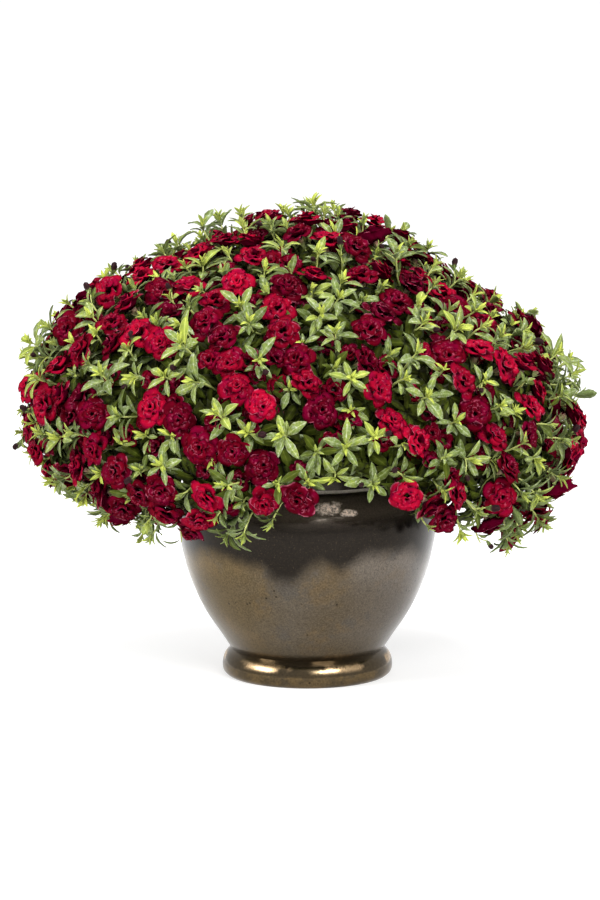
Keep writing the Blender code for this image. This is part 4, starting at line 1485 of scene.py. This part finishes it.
def glaze_material():
    """Bronze glaze: near black down to a wavy border, partly its own colour and partly painted reflection and
    shadow of the mound, brown below it, speckled, with pinholes. Its lighter shoulder, ridge line, foot band
    and warm patches are painted light.
    """
    look = Look("bronze_glaze")
    x, y, z = (node_value(look.tree, "ShaderNodeSeparateXYZ", {"Vector": look.place}, axis) for axis in "XYZ")
    front = y * -1.0
    around = x.sum("ARCTAN2", front)
    # Painted highlight: golden strokes round the top of the foot ring, where the lamps would shine on it.
    dashes = ((around - FOOT_TURN) * FOOT_WAVES).sum("COSINE") + look.cloud(70).even(-0.8, 0.8)
    (low, high), (end, over) = FOOT_HIGHLIGHT_BAND
    band = z.spread(low, high) * z.spread(end, over, 1.0, 0.0) * dashes.spread(-0.4, 0.7)
    # The dark top: partly the glaze's own colour, partly painted reflection and shadow of the mound's skirt.
    upper = glaze_border(look, around, z)
    # Painted light: the shoulder is lightened where the mound's shadow falls on it.
    shoulder = z.spread(*GLAZE_SHOULDER) * z.spread(*GLAZE_COLLAR, 1.0, 0.05)
    # Painted highlight: a thin bright line along the ridge under the collar.
    ridge = (z - GLAZE_RIDGE).sum("ABSOLUTE").spread(0.0006, 0.0017, 0.90, 0.0)
    # Painted highlight: warm speckled patches on the front of the shoulder, as if a lamp shone there.
    painted_highlight = painted_highlight_patches(look, x, z, front)
    pinholes = node_value(look.tree, "ShaderNodeTexVoronoi", {"Vector": look.place, "Scale": 95}, "Distance")
    pit = pinholes.spread(0.05, 0.13, 1.0, 0.0) * look.cloud(40, 1.0).spread(0.48, 0.56)
    colour = lower_glaze(look, x, z).under(band, GLAZE["band"]).under(upper, GLAZE["charcoal_and_reflection"])
    colour = colour.under(shoulder, GLAZE["shoulder"]).under(ridge, GLAZE["ridge"]).under(painted_highlight, GLAZE["painted_highlight"])
    colour = colour.under(1.0, look.cloud(620, 4.0, 0.75).even(0.60, 1.40), "MULTIPLY")
    colour = colour.under(look.cloud(900, 2.0).spread(0.60, 0.72) * 0.12, GLAZE["speckle"])
    colour = colour.under(pit * 0.85, GLAZE["pit"])
    metal = upper * -0.08 + 0.92 + shoulder * -0.35 + ridge * -0.70 + painted_highlight * -0.3
    gloss = band * 0.10 + look.cloud(120).even(0.14, 0.24)
    return look.made({"Base Color": colour, "Metallic": metal, "Roughness": gloss},
                     look.cloud(180) - pit, 0.08, 0.0006)


def soil_material():
    look = Look("potting_soil")
    colour = look.cloud(300, 4.0, 0.7).ramp(SOIL)
    return look.made({"Base Color": colour, "Roughness": 0.95}, look.cloud(500, 4.0), 0.6, 0.001)


def floor_material():
    floor = bpy.data.materials.new("white_floor")
    floor.use_nodes = True
    set_inputs(floor.node_tree.nodes["Principled BSDF"],
               {"Base Color": FLOOR, "Roughness": 0.8, "Emission Color": WHITE, "Emission Strength": 0.52})
    return floor


# Pot and soil


def smooth_line(points, steps):
    """The points of a line, with more between them on a smooth curve through them all."""
    spots = [Vector(point) for point in (points[0], *points, points[-1])]
    line = []
    for before, start, end, after in zip(spots, spots[1:], spots[2:], spots[3:]):
        slope, bend = end - before, 2 * before - 5 * start + 4 * end - after
        twist = 3 * start - before - 3 * end + after
        for k in range(steps):
            t = k / steps
            line.append(0.5 * ((2 * start) + slope * t + bend * t * t + twist * t**3))
    return [tuple(point) for point in (*line, spots[-1])]


def fine_pot(finish):
    foot = smooth_line((*POT_SOLE, *POT_FOOT, POT_CREASE), POT_SMOOTHING)
    body = smooth_line((POT_CREASE, *POT_BODY), POT_SMOOTHING)
    collar = smooth_line((*POT_RIDGE, *POT_COLLAR, *POT_LIP), LIP_SMOOTHING)
    inside = smooth_line((POT_LIP[1], *POT_INSIDE), LIP_SMOOTHING)
    pot = turned("glazed_pot", [*foot, *body[1:], *collar, *inside[1:]][::-1], POT_STEPS)
    floor = POT_INSIDE[-1][1]
    cutters = []
    for k in range(DRAINS):
        cutter = turned("drain", ((DRAIN_RADIUS, 2 * floor), (DRAIN_RADIUS, -floor)), DRAIN_SIDES)
        cutter.location = ring_point(DRAIN_RING, tau * k / DRAINS, 0)
        cut = pot.modifiers.new("drain", "BOOLEAN")
        cut.object = cutter
        cut.solver = "EXACT"
        cutters.append(cutter)
    mesh = evaluated(pot)
    for cutter in cutters:
        bpy.data.objects.remove(cutter)
    mesh.materials.clear()
    mesh.materials.append(finish)
    mesh.shade_smooth()
    mesh.set_sharp_from_angle(angle=SHARP_EDGE)
    return pot


def soil_height(x, y):
    """How far the soil's rough top lies over its crown here."""
    lumps = (share * noise.noise(Vector((x * rate, y * rate, level))) for rate, level, share in SOIL_LUMPS)
    return SOIL_ROUGHNESS * sum(lumps)


def fine_soil(finish):
    """Soil with a rough top, down to where it fills the pot."""
    neck = POT_INSIDE[0][0] - SOIL_GAP
    profile = []
    for i in range(1, SOIL_RINGS + 1):
        past_flat = max(0.0, i / SOIL_RINGS - SOIL_FLAT_SHARE) / (1 - SOIL_FLAT_SHARE)
        height = SOIL_CROWN_HEIGHT + (SOIL_EDGE_HEIGHT - SOIL_CROWN_HEIGHT) * past_flat
        profile.append((neck * i / SOIL_RINGS, height))
    profile += [(radius - SOIL_GAP, height) for radius, height in POT_INSIDE[1:-1]]
    profile.append((POT_INSIDE[-1][0] - SOIL_GAP, POT_INSIDE[-1][1] + SOIL_GAP))
    soil = turned("crumbly_soil", profile, SOIL_SIDES)
    for vertex in soil.data.vertices:
        x, y, z = vertex.co
        if z > SOIL_EDGE_HEIGHT - SOIL_TOP_SPARE and hypot(x, y) < neck - SOIL_EDGE_MARGIN:
            vertex.co.z += soil_height(x, y)
    soil.data.materials.append(finish)
    return soil


def crumb_shapes(dice):
    """Rough crumbs with eight faces."""
    meshes = []
    for _ in range(CRUMB_KINDS):
        shape = Shape()
        for axis in range(3):
            for sign in (1, -1):
                spot = Vector((0, 0, 0))
                spot[axis] = sign * dice.uniform(*CRUMB_REACH)
                shape.point(spot)
        for a, b, c in product((0, 1), (2, 3), (4, 5)):
            shape.faces.append((a, b, c) if (a + b + c) % 2 == 0 else (a, c, b))
        meshes.append(shape.mesh("crumb"))
    return shape_set("crumb_shapes", meshes)


def soil_crumbs(finish):
    dice = random.Random(CRUMB_SEED)
    spots = Planting()
    for _ in range(CRUMBS):
        radius = (POT_INSIDE[0][0] - CRUMB_MARGIN) * sqrt(dice.random())
        angle = dice.uniform(0, tau)
        x, y = radius * cos(angle), radius * sin(angle)
        turn = Matrix.Rotation(dice.uniform(0, tau), 3, "Z") @ Matrix.Rotation(dice.uniform(0, tau), 3, "X")
        spots.add((x, y, SOIL_CROWN_HEIGHT - CRUMB_SINK + soil_height(x, y)), turn, dice.uniform(*CRUMB_SIZE),
                  dice.randrange(CRUMB_KINDS), MIDDLE_TINT)
    return spots.piece("soil_crumbs", crumb_shapes(dice), finish)


# The plant


def place_tree(places):
    """The search tree of places, numbered in their order."""
    tree = kdtree.KDTree(len(places))
    for index, place in enumerate(places):
        tree.insert(place, index)
    tree.balance()
    return tree


def plant_blooms(clusters, finish):
    """The fine blooms, one piece for each cluster."""
    shapes = bloom_shapes("bloom_shapes", PETAL_RINGS, BLOOM_KINDS)
    dice = random.Random(BLOOM_SEED + 1)
    for number, blooms in enumerate(clusters, 1):
        spots = Planting()
        for bloom in blooms:
            spots.stand(bloom, dice.randrange(BLOOM_KINDS), dice.betavariate(*BLOOM_TINT))
        name = f"blooms_{number:02d}"
        piece = spots.piece(f"fine_{name}", shapes, finish)
        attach(piece, "root")
        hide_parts(name)


def young_blooms(blooms, shoots):
    """Half-open blooms set deeper in the mound, in the room that the open ones and the shoots leave."""
    dice = random.Random(BLOOM_SEED + 2)
    taken = [bloom.place for bloom in blooms]
    found = []
    for _ in range(YOUNG_BLOOMS * YOUNG_TRIES):
        if len(found) == YOUNG_BLOOMS:
            break
        theta, azimuth = even_spot(dice)
        place = mound_point(theta, azimuth, dice.uniform(*YOUNG_DEPTH))
        if theta > lowest_angle(azimuth) - CLUSTER_MARGIN:
            continue
        if any((place - there).length < YOUNG_ROOM for there in taken):
            continue
        if any((place - shoot.hub).length < YOUNG_HUB_ROOM for shoot in shoots):
            continue
        lean = drawn_lean(BLOOM_LEAN, dice) + Vector((place.x, place.y, 0)).normalized() * YOUNG_OUTWARD
        bloom = Bloom(theta, azimuth, dice)
        bloom.place = place
        bloom.facing = (mound_normal(theta, azimuth) + lean).normalized()
        bloom.radius = dice.uniform(*YOUNG_RADIUS)
        taken.append(place)
        found.append(bloom)
    return found


def plant_young(young, finish):
    shapes = bloom_shapes("young_shapes", YOUNG_RINGS, YOUNG_KINDS)
    dice = random.Random(BLOOM_SEED + 3)
    spots = Planting()
    for bloom in young:
        spots.stand(bloom, dice.randrange(YOUNG_KINDS), dice.uniform(*YOUNG_TINT))
    piece = spots.piece("half_open_blooms", shapes, finish)
    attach(piece, "root")


def plant_calyces(blooms, finish):
    spots = Planting()
    for bloom in blooms:
        spots.stand(bloom, 0, MIDDLE_TINT)
    piece = spots.piece("calyces", shape_set("calyx_shapes", [calyx_mesh()]), finish)
    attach(piece, "root")


def plant_foliage(patches, rosettes, blooms, finish):
    """The leaves of each leafy stem, one piece for each. Returns the shoots they stand on."""
    shapes = leaf_shapes()
    dice = random.Random(SHOOT_SEED)
    tree = place_tree([bloom.place for bloom in blooms])
    hubs = [rosette.place for group in rosettes for rosette in group]
    shoots = []
    for number, (patch, group) in enumerate(zip(patches, rosettes), 1):
        foliage = Foliage(blooms, tree)
        outer = []
        for rosette in group:
            outer.append(Shoot(rosette.place, rosette.facing, patch))
            tint = dice.uniform(*SHOOT_TINT["rosette"])
            whorl(foliage, outer[-1], rosette.spin, rosette.leaves, dice, tint, True)
        for shoot in extra_shoots(patch, hubs, tree, dice):
            outer.append(shoot)
            count = dice.randint(*EXTRA_LEAVES)
            leaves = [(dice.uniform(*EXTRA_LENGTH), dice.uniform(*LEAF_RISE)) for _ in range(count)]
            whorl(foliage, shoot, dice.uniform(0, tau), leaves, dice, dice.uniform(*SHOOT_TINT["extra"]))
        for shoot in outer:
            stalk_leaves(foliage, shoot, dice, dice.uniform(*SHOOT_TINT["stalk"]))
        inner = inner_shoots(patch, dice)
        for shoot in inner:
            inner_leaves(foliage, shoot, dice)
        shoots += outer + inner
        name = f"leafy_stem_{number:02d}"
        piece = foliage.planting.piece(f"leaves_{number:02d}", shapes, finish)
        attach(piece, "root")
        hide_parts(name)
    return shoots


def pedicel(bloom, tree):
    """The path of the stalk that holds a bloom, from its calyx to the nearest stalk of a shoot."""
    foot = bloom.place + bloom.facing * bloom.radius * TUBE_PROFILE[-1][1]
    end, _, _ = tree.find(foot - bloom.facing * PEDICEL_REACH)
    fall = (foot - end).length

    def path_at(share):
        bend = foot.lerp(end, 0.5 - share / 2) - bloom.facing * fall * 0.5 * share
        steps = [i / (PEDICEL_POINTS - 1) for i in range(PEDICEL_POINTS)]
        return [(1 - t) ** 2 * foot + 2 * (1 - t) * t * bend + t * t * end for t in steps]

    return straightened(path_at)


def run_stalks(patches, shoots, blooms, finish):
    """The main stems out of the soil, the stalks of the shoots, and the stalk that holds each bloom."""
    stems, fine = Stalks(), Stalks()
    for patch in patches:
        stems.add(stem_line(patch), STEM_RADII, STEM_TINTS)
    for shoot in shoots:
        fine.add(shoot.path, STALK_GIRTH, INNER_TINTS if shoot.inner else OUTER_TINTS)
        if not shoot.inner:
            fine.add([shoot.hub, shoot.hub + shoot.facing * HUB_TIP], STALK_END_GIRTH, FRESH_TINTS)
    tree = place_tree([place for shoot in shoots for place in shoot.path[2:]])
    for bloom in blooms:
        fine.add(pedicel(bloom, tree), PEDICEL_RADII, PEDICEL_TINTS)
    for name, stalks, sides in (("main_stems", stems, STEM_SIDES), ("fine_stalks", fine, STALK_SIDES)):
        piece = stalks.piece(name, sides, finish)
        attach(piece, "root")


def plant_buds(shoots, finish, stalk_finish):
    """Dark buds on short stalks beside the shoot tips."""
    dice = random.Random(BUD_SEED)
    shapes = shape_set("bud_shapes", [bud_mesh(dice) for _ in range(BUD_KINDS)])
    spots, stalks = Planting(), Stalks()
    for shoot in dice.sample([shoot for shoot in shoots if not shoot.inner], BUDS):
        aside = shoot.facing.orthogonal().normalized()
        aside.rotate(Matrix.Rotation(dice.uniform(0, tau), 3, shoot.facing))
        foot = shoot.hub + shoot.facing * dice.uniform(*BUD_AHEAD) + aside * dice.uniform(*BUD_ASIDE)
        heading = (shoot.facing + aside * dice.uniform(*BUD_LEAN)).normalized()
        turn = upright_frame(foot, heading, dice.uniform(0, tau)).to_3x3()
        spots.add(foot, turn, dice.uniform(*BUD_LENGTH), dice.randrange(BUD_KINDS), MIDDLE_TINT)
        middle = shoot.hub.lerp(foot, 0.5) + shoot.facing * BUD_STALK_LIFT
        stalks.add([shoot.hub, middle, foot + heading * BUD_SEAT], PEDICEL_RADII, FRESH_TINTS)
    for piece in (spots.piece("buds", shapes, finish), stalks.piece("bud_stalks", STALK_SIDES, stalk_finish)):
        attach(piece, "root")


# Floor, camera and light


def make_stage():
    half = FLOOR_SIZE / 2
    corners = [(-half, -half, 0), (half, -half, 0), (half, half, 0), (-half, half, 0)]
    mesh = point_mesh("floor", corners, [], [(0, 1, 2, 3)], {})
    mesh.materials.append(floor_material())
    linked("floor", mesh)
    lens = bpy.data.cameras.new("camera")
    lens.sensor_width = SENSOR
    lens.lens = SENSOR * CAMERA_DISTANCE / VIEW_HEIGHT
    lens.clip_end = 2 * FLOOR_SIZE
    camera = linked("camera", lens)
    back = Vector((0, -cos(CAMERA_ELEVATION), sin(CAMERA_ELEVATION)))
    camera.location = CAMERA_AIM + back * CAMERA_DISTANCE
    camera.rotation_euler = (pi / 2 - CAMERA_ELEVATION, 0, 0)
    bpy.context.scene.camera = camera


def make_light():
    world = bpy.data.worlds.new("studio")
    world.use_nodes = True
    set_inputs(world.node_tree.nodes["Background"], {"Color": WHITE, "Strength": WORLD_LIGHT})
    bpy.context.scene.world = world
    bpy.context.scene.view_settings.view_transform = "Standard"
    for name, place, size, power in LIGHTS:
        lamp = bpy.data.lights.new(name, "AREA")
        lamp.shape = "RECTANGLE"
        lamp.size, lamp.size_y = size
        lamp.energy = power
        light = linked(name, lamp)
        light.location = place
        light.rotation_euler = (LIGHT_AIM - light.location).to_track_quat("-Z", "Y").to_euler()


def main():
    petals, leaves, stalks = petal_material(), leaf_material(), stalk_material()
    potting = soil_material()
    pot = fine_pot(glaze_material())
    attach(pot, "root")
    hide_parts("pot")
    soil = fine_soil(potting)
    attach(soil, "root")
    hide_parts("soil")
    crumbs = soil_crumbs(potting)
    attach(crumbs, "root")
    patches, clusters, rosettes = grow_plant()
    blooms = [bloom for cluster in clusters for bloom in cluster]
    plant_blooms(clusters, petals)
    shoots = plant_foliage(patches, rosettes, blooms, leaves)
    young = young_blooms(blooms, shoots)
    plant_young(young, petals)
    plant_calyces(blooms + young, calyx_material())
    run_stalks(patches, shoots, blooms + young, stalks)
    plant_buds(shoots, bud_material(), stalks)
    make_stage()
    make_light()


main()
